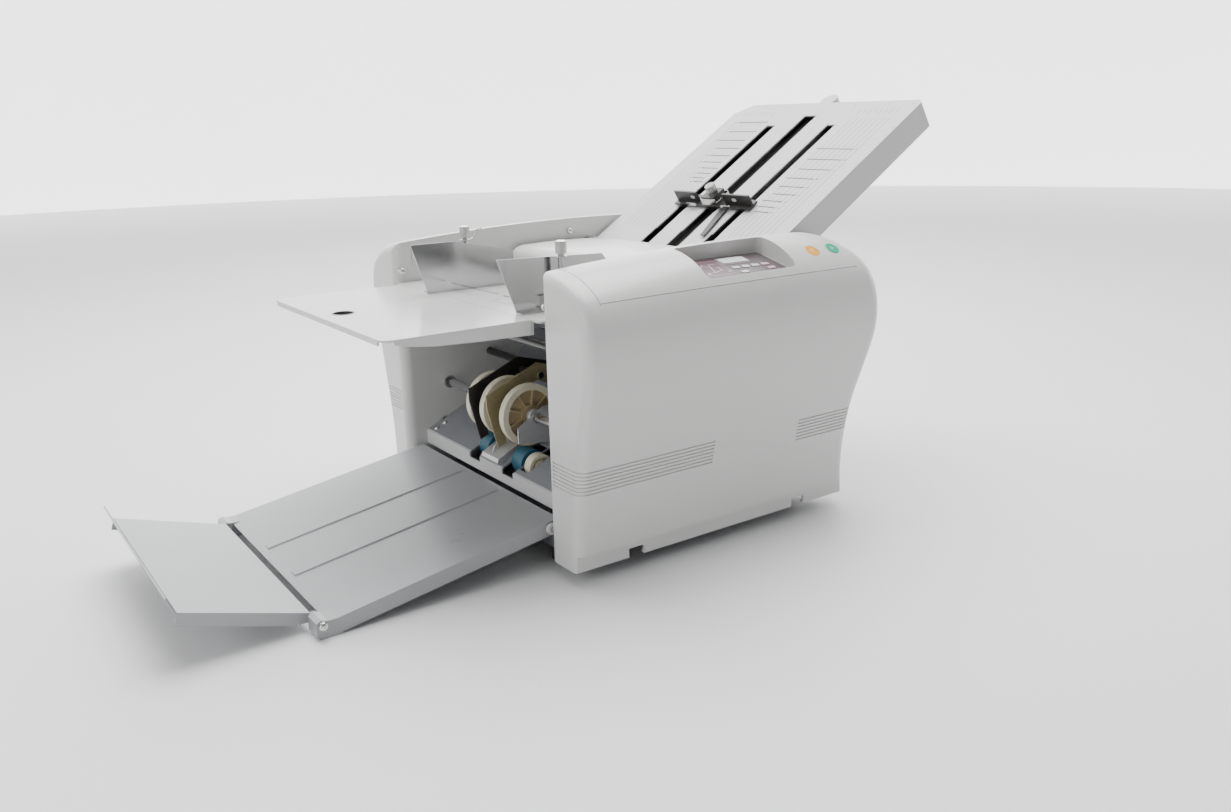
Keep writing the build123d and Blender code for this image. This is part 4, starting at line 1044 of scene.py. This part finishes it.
@dataclass
class PaperGuide:
    """One polished side guide with its clamp block and knurled knob."""

    side: str
    cap_radius: float = 5.4 * MM
    block: tuple[float, float, float] = (17 * MM, 12 * MM, 13 * MM)

    def build(self) -> None:
        """Dress the guide and build its clamp parts."""
        guide, knob = f"paper_guide_{self.side}", f"guide_knob_{self.side}"
        dress(MIRROR, guide)
        dress(PLATED, knob)
        low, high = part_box(knob)
        centre = (low + high) / 2
        top = Datum(Vector((centre.x, centre.y, high.z)), RIGHT, BACK)
        cap = Workpiece(f"knob_cap_{self.side}")
        r = self.cap_radius
        cap.turn(top, ((r, -0.6 * MM), (r, 0.3 * MM), (r * 0.82, 0.9 * MM), (r * 0.45, 0.7 * MM)))
        cap.mount(PLATED, knob, smooth=True)
        washer = Workpiece(f"knob_washer_{self.side}")
        under = Datum(Vector((centre.x, centre.y, high.z - 16.5 * MM)), top.right, top.up)
        washer.turn(under, ((5.0 * MM, 0), (6.4 * MM, 0.4 * MM), (6.4 * MM, 1.2 * MM), (5.0 * MM, 1.6 * MM)))
        washer.mount(ZINC, guide, smooth=True)
        self.build_block(centre)

    def build_block(self, centre: Vector) -> None:
        """Folded clamp block round the foot of the post.

        Args:
            centre: Middle of the knob above it.
        """
        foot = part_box(f"paper_guide_{self.side}")[0].z
        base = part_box("feed_table_inner")[1].z + 2.4 * MM
        datum = Datum(Vector((centre.x, centre.y, max(foot, base))), RIGHT, BACK)
        wide, deep, tall = self.block
        work = Workpiece(f"clamp_block_{self.side}")
        work.bar(datum, (-wide / 2, wide / 2), (-deep / 2, deep / 2), (tall - 1.5 * MM, tall))
        for x in (-wide / 2, wide / 2 - 1.5 * MM):
            work.bar(datum, (x, x + 1.5 * MM), (-deep / 2, deep / 2), (0, tall - 1.5 * MM))
        lug = wide / 2 + 7 * MM
        work.bar(datum, (-lug, -wide / 2), (-deep / 4, deep / 4), (tall - 1.5 * MM, tall))
        work.mount(PLATED, f"paper_guide_{self.side}", bevel=0.3 * MM)


@dataclass
class GuideHook:
    """Small sprung wire hook beside the far knob."""

    wire: float = 0.9 * MM

    def build(self) -> None:
        """Bend the wire from the clamp block up past the knob."""
        low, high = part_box("guide_knob_far")
        x, y = (low.x + high.x) / 2, (low.y + high.y) / 2
        points = (
            (x + 7.5 * MM, y, high.z - 15.3 * MM), (x + 12 * MM, y, high.z - 15.0 * MM),
            (x + 15 * MM, y, high.z - 8 * MM), (x + 19 * MM, y, high.z - 2.5 * MM),
            (x + 24 * MM, y, high.z - 3.5 * MM), (x + 24.5 * MM, y, high.z - 6 * MM),
        )
        curve = bpy.data.curves.new("guide_hook", "CURVE")
        curve.dimensions = "3D"
        curve.bevel_depth = self.wire
        curve.bevel_resolution = 3
        curve.use_fill_caps = True
        spline = curve.splines.new("NURBS")
        spline.points.add(len(points) - 1)
        for knot, place in zip(spline.points, points):
            knot.co = (*place, 1.0)
        spline.order_u = 3
        spline.use_endpoint_u = True
        hook = bpy.data.objects.new("guide_hook", curve)
        bpy.context.scene.collection.objects.link(hook)
        curve.materials.append(PLATED.material())
        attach(hook, "paper_guide_far")


# ---------------------------------------------------------------- hood, rollers and drive


@dataclass
class RollerHood:
    """Crowned moulding over the feed and fold rollers."""

    wall: float = 2.3 * MM
    crown: float = 5.0 * MM
    sweep: float = 11 * MM
    front_rise: float = 14 * MM
    brow: float = 20 * MM
    tail: float = 9 * MM
    stations: int = 44

    def profile(self, share: float) -> list[tuple[float, float]]:
        """Outline of the hood at one station across the machine.

        Args:
            share: Place across the hood, from -1 to 1.

        Returns:
            Points of x and z, from the front's lower edge to the tail.
        """
        low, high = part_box("roller_hood")
        drop = self.crown * abs(share) ** 2.4
        back = self.sweep * abs(share) ** 2.0
        front = low.x + back
        top = high.z - drop
        brow_x, brow_z = front + self.brow, top - 1.2 * MM
        lip = low.z + self.front_rise
        points = [(front, low.z), (front, low.z + 8 * MM), (front, lip)]
        for step in range(1, 10):
            t = step / 9 * math.pi / 2
            x = front + (brow_x - front) * (1 - math.cos(t))
            points.append((x, lip + (brow_z - lip) * math.sin(t)))
        tail_x, tail_z = high.x - self.tail, top - 1.0 * MM
        for step in range(1, 7):
            t = step / 6
            lift = 1.2 * MM * math.sin(t * math.pi)
            points.append((brow_x + (tail_x - brow_x) * t, brow_z + (tail_z - brow_z) * t + lift))
        for step in range(1, 6):
            t = step / 5 * math.pi / 2
            points.append((tail_x + self.tail * math.sin(t), tail_z - 6 * MM * (1 - math.cos(t))))
        points.append((high.x, high.z - 11 * MM))
        return points

    def build(self) -> None:
        """Loft the crowned skin, close its ends and give it its wall."""
        low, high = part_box("roller_hood")
        work = Workpiece("roller_hood_skin")
        rows = []
        for station in range(self.stations + 1):
            share = 2 * station / self.stations - 1
            y = low.y + (high.y - low.y) * station / self.stations
            rows.append([work.mesh.verts.new((x, y, z)) for x, z in self.profile(share)])
        for near, far in zip(rows, rows[1:]):
            for i in range(len(near) - 1):
                work.mesh.faces.new((near[i], near[i + 1], far[i + 1], far[i]))
        for row in (rows[0], rows[-1]):
            work.mesh.faces.new(row)
        piece = work.mount(SHELL, "roller_hood", smooth=True)
        skin = piece.modifiers.new("wall", "SOLIDIFY")
        skin.thickness = self.wall
        skin.offset = -1.0
        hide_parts("roller_hood")


@dataclass
class RollerTrain:
    """Fold rollers, feed roller, pulleys, belts and motor."""

    covered: float = 158 * MM
    tyre_half: float = 31 * MM
    bolt_circle: float = 25 * MM

    def build(self) -> None:
        """Dress the rollers and the drive."""
        cover = Zone(1, -self.covered - MM, self.covered + MM, outside=True)
        for number in range(1, 5):
            dress(two("fold_roller", RUBBER, SHAFT, cover), f"fold_roller_{number}")
        tyre = Zone(1, -self.tyre_half, self.tyre_half, outside=True)
        dress(two("feed_roller", RUBBER, SHAFT, tyre), "feed_roller")
        dress(BLACK_MOULDING, "drive_pulley")
        dress(ZINC, "motor_pulley")
        dress(BELT, "drive_belt", "side_belts")
        dress(CASTING, "drive_motor")
        self.build_motor_bolts()

    def build_motor_bolts(self) -> None:
        """Through bolts on the motor's end bell."""
        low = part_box("drive_motor")[0]
        axis = Vector(joint("motor_spin")["pos_m"])
        datum = Datum(Vector((axis.x, low.y + 12 * MM, axis.z)), RIGHT, UP)
        work = Workpiece("motor_bolts")
        for quarter in range(4):
            angle = math.radians(45 + 90 * quarter)
            spot = (self.bolt_circle * math.cos(angle), self.bolt_circle * math.sin(angle))
            screw_head(work, datum, 3.2 * MM, spot)
        work.mount(ZINC, "chassis", smooth=True)


# ---------------------------------------------------------------- delivery side


@dataclass
class DeliveryEnd:
    """Exit rollers, stacker wheels, plates and lip under the feed table."""

    pin_cap: float = 5.0 * MM
    web_radius: float = 29.5 * MM
    slope_angle: float = 24.0
    lip_height: float = 73 * MM

    def dress(self) -> None:
        """Give the plates, wheels and rollers their finishes."""
        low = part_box("exit_plate")[0]
        lip = Zone(0, low.x - MM, low.x + 2.5 * MM)
        dress(two("exit_plate", FRAME_PAINT, POWDER, lip), "exit_plate")
        dress(ZINC, "sheet_ramp", "deflector_plate")
        dress(SHAFT, "exit_shaft", "stacker_shaft")
        dress(TEAL_RUBBER, "exit_rollers")
        dress(IVORY, "exit_wheel")
        dress(two("stacker_wheels", IVORY, TAN, self.wheel_web()), "stacker_wheels")
        near = Zone(1, -12 * MM, 14 * MM)
        dress(two("stacker_bracket", BLACK_PAINT, OLIVE_PAINT, near), "stacker_bracket")

    def wheel_web(self) -> "Disc":
        """The web inside the rims of the stacker wheels."""
        axis = Vector(joint("stacker_wheel_spin")["pos_m"])
        return Disc((axis.x, axis.z), self.web_radius)

    def build_chute(self) -> None:
        """Folded zinc chute between the exit rollers, and strips over the shaft's slot."""
        slope = self.slope()
        side = Datum(slope.origin, slope.up, slope.out)
        chute = Workpiece("exit_chute")
        outline = ((0.5, 0.3), (42, 0.3), (40, 9.5), (3.5, 7.5), (0.5, 4.0))
        chute.prism(side, [(u * MM, h * MM) for u, h in outline], -20 * MM, 20 * MM)
        chute.mount(ZINC, "chassis", bevel=0.5 * MM)
        strips = Workpiece("exit_plate_strips")
        shaft = Vector(joint("exit_roller_spin")["pos_m"]) - slope.origin
        up = shaft.dot(slope.up)
        for start, end in ((-171, -54), (-26, 26), (74, 171)):
            strips.bar(slope, (start * MM, end * MM), (up - 5.5 * MM, up + 5.5 * MM), (0.05 * MM, 0.5 * MM))
        strips.mount(FRAME_PAINT, "chassis", bevel=0.1 * MM)

    def slope(self) -> Datum:
        """Plane on the exit plate: up climbs it from the lip, right points to the near side.

        Returns:
            The plane.
        """
        angle = math.radians(self.slope_angle)
        along = Vector((math.cos(angle), 0, math.sin(angle)))
        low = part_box("exit_plate")[0]
        return Datum(Vector((low.x, 0, self.lip_height)), -BACK, along)

    def build_pins(self) -> None:
        """Collars on the stacker shaft."""
        centre = Vector(joint("stacker_wheel_spin")["pos_m"])
        collars = Workpiece("shaft_collars")
        for y in (-42 * MM, 8 * MM, 62 * MM):
            datum = Datum(Vector((centre.x, y, centre.z)), RIGHT, UP)
            collars.turn(
                datum,
                ((8 * MM, -3 * MM), (9 * MM, -2 * MM), (9 * MM, 2 * MM), (8 * MM, 3 * MM)),
                steps=40,
            )
        collars.mount(ZINC, "stacker_wheels", smooth=True)

    def build_bolts(self) -> None:
        """Bolt heads beside the far end of the lip and white caps on the tray's pivots."""
        heads = Workpiece("lip_bolts")
        for distance in (9 * MM, 22 * MM):
            screw_head(heads, self.slope(), 4.0 * MM, (-160 * MM, distance))
        heads.mount(PLATED, "chassis", smooth=True)
        pivot = Vector(joint("tray_hinge")["pos_m"])
        caps = Workpiece("tray_pivot_caps")
        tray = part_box("delivery_tray")[1].y
        for side in (-1, 1):
            start = Vector((pivot.x, side * (tray + 1.2 * MM), pivot.z))
            datum = Datum(start, Vector((-side, 0, 0)), UP)
            caps.turn(
                datum,
                ((self.pin_cap, 0), (self.pin_cap + MM, 1 * MM), (self.pin_cap + MM, 4.5 * MM)),
            )
        caps.mount(SHELL, "chassis", smooth=True)

    def build(self) -> None:
        """Build and dress the delivery end."""
        self.dress()
        self.build_chute()
        self.build_pins()
        self.build_bolts()


@dataclass
class DeliveryTray:
    """Hinged delivery tray and its fold-out extension."""

    screw: float = 4.3 * MM

    def build(self) -> None:
        """Dress the sheets and add the screw heads at the corner blocks."""
        dress(TRAY_PAINT, "delivery_tray", "tray_extension")
        dress(PLATED, "tray_hinge_screws")
        pivot = Vector(joint("extension_hinge")["pos_m"])
        low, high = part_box("tray_hinge_screws")
        work = Workpiece("tray_screw_heads")
        for side, y in ((-1, low.y), (1, high.y)):
            datum = Datum(Vector((pivot.x, y, pivot.z)), Vector((side * -1, 0, 0)), UP)
            screw_head(work, datum, self.screw)
        work.mount(PLATED, "delivery_tray", smooth=True)


# ---------------------------------------------------------------- fold tables


class MarkSide(Enum):
    """Which half of the fold table a printed scale belongs to."""

    FAR = -1
    NEAR = 1


@dataclass
class UpperFoldTable:
    """Slotted fold table with printed scales, dimples, slot liners and stop carriage."""

    line_pitch: float = 9.0 * MM
    line_count: int = 8
    line_start: float = 80 * MM
    line_top: float = 40 * MM
    line_foot: float = 292 * MM
    slots: tuple[tuple[float, float, float], ...] = (
        (-69 * MM, -51 * MM, 53.1 * MM), (-14 * MM, 10 * MM, 30.0 * MM), (46 * MM, 62 * MM, 52.6 * MM),
    )

    def datum(self) -> Datum:
        """Plane on the table's face: up climbs the table, and its origin is on the top edge.

        Returns:
            The plane.
        """
        along = Vector(joint("fold_stop_1_slide")["axis"]).normalized()
        across = -BACK
        out = across.cross(along)
        top = extent("fold_table_1_plate", along)[1]
        face = extent("fold_table_1_plate", out)[1]
        return Datum(along * top + out * face, across, along)

    def build_lines(self, datum: Datum) -> None:
        """Long fine lines on both sides and the fold marks across them.

        Args:
            datum: The table's face.
        """
        fine = Workpiece("scale_lines")
        for side in MarkSide:
            for step in range(self.line_count):
                x = side.value * (self.line_start + step * self.line_pitch)
                fine.stroke(datum, ((x, -self.line_top), (x, -self.line_foot)), 0.6 * MM, PRINT_T)
                stub = 7 * MM if step % 2 else 11 * MM
                fine.stroke(datum, ((x, -20 * MM), (x, -20 * MM - stub)), 0.8 * MM, PRINT_T)
        fine.mount(FINE_INK, "chassis")
        marks = Workpiece("fold_marks")
        red = Workpiece("fold_marks_red")
        figures = Workpiece("fold_figures")
        for side in MarkSide:
            first = 46 * MM if side is MarkSide.FAR else 108 * MM
            count = 10 if side is MarkSide.FAR else 9
            for step in range(count):
                down = -(first + step * (24 - step * 0.9) * MM)
                inner = 74 * MM + (step % 3) * 3 * MM
                outer = inner + (58 - 4.6 * step) * MM
                path = ((side.value * inner, down), (side.value * outer, down))
                marks.stroke(datum, path, 1.7 * MM, 1.5 * PRINT_T)
                end = side.value * (outer + 1.5 * MM)
                dot = red if step % 3 == 1 else marks
                dot.prism(datum, shifted(rounded(3.4 * MM, 2.6 * MM, 1.2 * MM), end, down), 0, 2 * PRINT_T)
                label = str(70 + 35 * ((count - step) % 9))
                offset = 4 * MM if side is MarkSide.NEAR else -11 * MM
                figures.figure(datum, label, 4.4 * MM, end + offset, down - 1.6 * MM)
        marks.mount(INK, "chassis")
        red.mount(RED_INK, "chassis")
        figures.mount(INK, "chassis")

    def build_metal(self, datum: Datum) -> None:
        """Slot liners, edge dimples, corner rivets, and a black patch on the side rail painted as the shade
        of a slot.

        Args:
            datum: The table's face.
        """
        liners = Workpiece("slot_liners")
        for left, right, top in self.slots:
            for x0, x1 in ((left, left + 1.1 * MM), (right - 1.1 * MM, right)):
                liners.bar(datum, (x0, x1), (-self.line_foot, -top), (-2.4 * MM, -0.25 * MM))
            liners.bar(datum, (left, right), (-top - 1.1 * MM, -top), (-2.4 * MM, -0.25 * MM))
        liners.mount(ZINC, "chassis", bevel=0.15 * MM)
        dimples = Workpiece("table_dimples")
        half = extent("fold_table_1_plate", datum.right)[1] - 5 * MM
        spots = [(side * half, -60 * MM - 78 * MM * step) for side in (-1, 1) for step in range(4)]
        spots += [(x, -7 * MM) for x in (-112 * MM, -60 * MM, 60 * MM, 118 * MM, 156 * MM)]
        for spot in spots:
            dimples.turn(datum, ((2.6 * MM, 0), (2.2 * MM, 0.35 * MM), (1.2 * MM, 0.55 * MM)), spot, 20)
        dimples.mount(POWDER, "chassis", smooth=True)
        # Painted shade: a black patch stands in for the dark of a slot in the side rail; no slot is cut.
        rail = Workpiece("rail_slot_shade")
        near_face = Vector((0, extent("fold_table_1_plate", BACK)[0], 0))
        flat = Datum(datum.at(0, -252 * MM, -27 * MM) + near_face, datum.up, datum.out)
        rail.prism(flat, rounded(16 * MM, 3.2 * MM, 1.5 * MM), -0.25 * MM, 0.5 * MM)
        rail.mount(BLACK_PAINT, "chassis")

    def build_carriage(self, datum: Datum) -> None:
        """Folded chrome bridge, wing slots and screws on the stop carriage.

        Args:
            datum: The table's face.
        """
        knob = Vector(joint("stop_knob_1_turn")["pos_m"])
        place = knob - datum.origin
        x, y = place.dot(datum.right), place.dot(datum.up)
        base = extent("fold_stop_1", datum.out)[1] - datum.out.dot(datum.origin)
        bridge = Workpiece("stop_bridge")
        bridge.bar(datum, (x - 14 * MM, x + 14 * MM), (y - 13 * MM, y - 11.5 * MM), (4.6 * MM, base - 4 * MM))
        bridge.bar(datum, (x - 14 * MM, x + 14 * MM), (y + 11.5 * MM, y + 13 * MM), (4.6 * MM, base - 7 * MM))
        for side in (-1, 1):
            edge = sorted((x + side * 14 * MM, x + side * 12.5 * MM))
            bridge.bar(datum, (edge[0], edge[1]), (y - 11.5 * MM, y + 11.5 * MM), (4.6 * MM, 9 * MM))
            bridge.bar(
                datum, (x + side * 34 * MM - 9 * MM, x + side * 34 * MM + 9 * MM),
                (y - 16.2 * MM, y - 15 * MM), (4.6 * MM, 8.6 * MM),
            )
        bridge.mount(PLATED, "fold_stop_1", bevel=0.3 * MM)
        slots = Workpiece("wing_slots")
        wing = Datum(datum.at(x, y - 6 * MM, 11 * MM), datum.right, datum.out)
        for offset in (-38 * MM, 44 * MM):
            slots.prism(wing, shifted(rounded(8 * MM, 4.4 * MM, 2 * MM), offset, 0), -0.1 * MM, 0.35 * MM)
        slots.mount(POWDER, "fold_stop_1")
        screws = Workpiece("stop_screws")
        level = Datum(datum.at(0, 0, 4.5 * MM), datum.right, datum.up)
        for offset in (-66 * MM, -40 * MM, 40 * MM, 64 * MM):
            screw_head(screws, level, 2.6 * MM, (x + offset, y + 0.5 * MM))
        screws.mount(PLATED, "fold_stop_1", smooth=True)

    def build(self) -> None:
        """Build and dress the upper fold table."""
        dress(POWDER, "fold_table_1_plate", "fold_table_1_frame", "fine_adjuster")
        dress(BED_STEEL, "fold_table_1_bed")
        dress(BLACK_PAINT, "fold_stop_1")
        dress(PLATED, "stop_knob_1")
        datum = self.datum()
        self.build_lines(datum)
        self.build_metal(datum)
        self.build_carriage(datum)


@dataclass
class LowerFoldTable:
    """Short fold table under the rollers, with its stop."""

    knob_radius: float = 7.5 * MM

    def build(self) -> None:
        """Dress the table and cap the stop's knob."""
        dress(POWDER, "fold_table_2_plate")
        dress(FRAME_PAINT, "fold_table_2_bed")
        dress(BLACK_PAINT, "fold_stop_2")
        along = Vector(joint("fold_stop_2_slide")["axis"]).normalized()
        across = BACK
        out = along.cross(across)
        if out.z < 0:
            out = -out
            across = -across
        top = extent("fold_stop_2", out)[1]
        spot = Vector(joint("fold_stop_2_slide")["pos_m"])
        spot += out * (top - out.dot(spot))
        datum = Datum(spot, along, across)
        cap = Workpiece("lower_stop_cap")
        r = self.knob_radius
        rim = ((r * 0.8, -4.6 * MM), (r, -4 * MM), (r, -0.8 * MM))
        cap.turn(datum, (*rim, (r * 0.85, 0), (r * 0.3, 0.2 * MM)))
        cap.mount(PLATED, "fold_stop_2", smooth=True)
        lines = Workpiece("lower_scale")
        plate_top = extent("fold_table_2_plate", out)[1]
        base = spot + out * (plate_top - out.dot(spot))
        level = Datum(base, along, across)
        for side in (-1, 1):
            for step in range(5):
                y = side * (88 + 12 * step) * MM
                lines.stroke(level, ((-62 * MM, y), (70 * MM, y)), 0.35 * MM, PRINT_T)
        lines.mount(FINE_INK, "chassis")


# ---------------------------------------------------------------- studio


@dataclass
class Studio:
    """Floor, soft lights and the camera."""

    yaw: float = 35.1
    pitch: float = -15.6
    roll: float = -1.3
    lens: float = 30.12
    stand: tuple[float, float, float] = (-0.63645, -1.0442, 0.4660)
    floor_size: float = 16.0
    sweep_radius: float = 6.0
    sweep_height: float = 4.5
    sweep_glow: float = 2.4
    room_light: float = 0.30

    def build_camera(self) -> None:
        """Stand the camera at its viewing angle."""
        yaw, pitch, roll = (math.radians(a) for a in (self.yaw, self.pitch, self.roll))
        forward = Vector(
            (math.sin(yaw) * math.cos(pitch), math.cos(yaw) * math.cos(pitch), math.sin(pitch))
        )
        level = Vector((math.cos(yaw), -math.sin(yaw), 0))
        rise = level.cross(forward)
        right = level * math.cos(roll) + rise * math.sin(roll)
        up = rise * math.cos(roll) - level * math.sin(roll)
        data = bpy.data.cameras.new("camera")
        data.lens = self.lens
        data.sensor_width = 36.0
        data.clip_start = 0.01
        camera = bpy.data.objects.new("camera", data)
        turned = Matrix((right, up, -forward)).transposed().to_4x4()
        centre = (CAD_BOX[0][0] + CAD_BOX[1][0]) / 2
        place = Vector(self.stand) + Vector((centre, 0, 0))
        camera.matrix_world = Matrix.Translation(place) @ turned
        bpy.context.scene.collection.objects.link(camera)
        bpy.context.scene.camera = camera

    def build_floor(self) -> None:
        """Pale studio floor."""
        half = self.floor_size / 2
        mesh = bpy.data.meshes.new("floor")
        corners = ((-half, -half, 0), (half, -half, 0), (half, half, 0), (-half, half, 0))
        mesh.from_pydata(corners, [], [(0, 1, 2, 3)])
        graph = Graph("studio_floor")
        tone = graph.blend(graph.noise(400 * MM), (0.84, 0.84, 0.845), (0.88, 0.88, 0.88))
        paint = graph.node("ShaderNodeBsdfPrincipled", None, {"Base Color": tone, "Roughness": 0.55})
        mesh.materials.append(graph.close(paint))
        floor = bpy.data.objects.new("floor", mesh)
        bpy.context.scene.collection.objects.link(floor)

    def build_backdrop(self) -> None:
        """White paper sweep standing well behind the machine."""
        ring = Workpiece("backdrop")
        lower, upper = [], []
        for step in range(49):
            angle = math.radians(-30 + step * 3.2)
            x, y = self.sweep_radius * math.cos(angle), self.sweep_radius * math.sin(angle)
            lower.append(ring.mesh.verts.new((x, y, 0)))
            upper.append(ring.mesh.verts.new((x, y, self.sweep_height)))
        for i in range(len(lower) - 1):
            ring.mesh.faces.new((lower[i], lower[i + 1], upper[i + 1], upper[i]))
        mesh = bpy.data.meshes.new("backdrop")
        ring.mesh.to_mesh(mesh)
        ring.mesh.free()
        graph = Graph("backdrop_paper")
        tone = graph.blend(graph.noise(900 * MM), (0.93, 0.93, 0.93), (0.96, 0.96, 0.96))
        glow = {"Emission Color": tone, "Emission Strength": self.sweep_glow}
        paper = graph.node(
            "ShaderNodeBsdfPrincipled", None, {"Base Color": tone, "Roughness": 0.9, **glow}
        )
        mesh.materials.append(graph.close(paper))
        sweep = bpy.data.objects.new("backdrop", mesh)
        bpy.context.scene.collection.objects.link(sweep)

    def build_lights(self) -> None:
        """Large soft lights above, in front and to the side, in a pale room."""
        for name, place, size, power in (
            ("overhead", (0.3, 0.5, 2.1), 2.0, 105.0),
            ("left_front", (-2.2, -0.4, 0.9), 1.4, 20.0),
            ("rear", (1.6, 2.2, 1.4), 1.6, 16.0),
        ):
            data = bpy.data.lights.new(name, "AREA")
            data.size = size
            data.energy = power
            light = bpy.data.objects.new(name, data)
            light.location = place
            aim = Vector((0.0, 0.0, 0.15)) - Vector(place)
            light.rotation_euler = aim.to_track_quat("-Z", "Y").to_euler()
            bpy.context.scene.collection.objects.link(light)
        world = bpy.data.worlds.new("room")
        world.use_nodes = True
        world.node_tree.nodes["Background"].inputs["Color"].default_value = (0.96, 0.97, 1.0, 1.0)
        world.node_tree.nodes["Background"].inputs["Strength"].default_value = self.room_light
        bpy.context.scene.world = world

    def build(self) -> None:
        """Set up the studio."""
        self.build_camera()
        self.build_floor()
        self.build_backdrop()
        self.build_lights()


def main() -> None:
    """Build every sub-assembly in order."""
    logging.basicConfig(level=logging.INFO, format="%(name)s: %(message)s")
    assemblies = (
        Covers(), PowerInlet(), ControlPanel(), FeedTable(),
        PaperGuide("near"), PaperGuide("far"), GuideHook(),
        RollerHood(), RollerTrain(), DeliveryEnd(), DeliveryTray(),
        UpperFoldTable(), LowerFoldTable(), Studio(),
    )
    for assembly in assemblies:
        assembly.build()
        LOG.info("built %s", type(assembly).__name__)


if __name__ == "__main__":
    main()
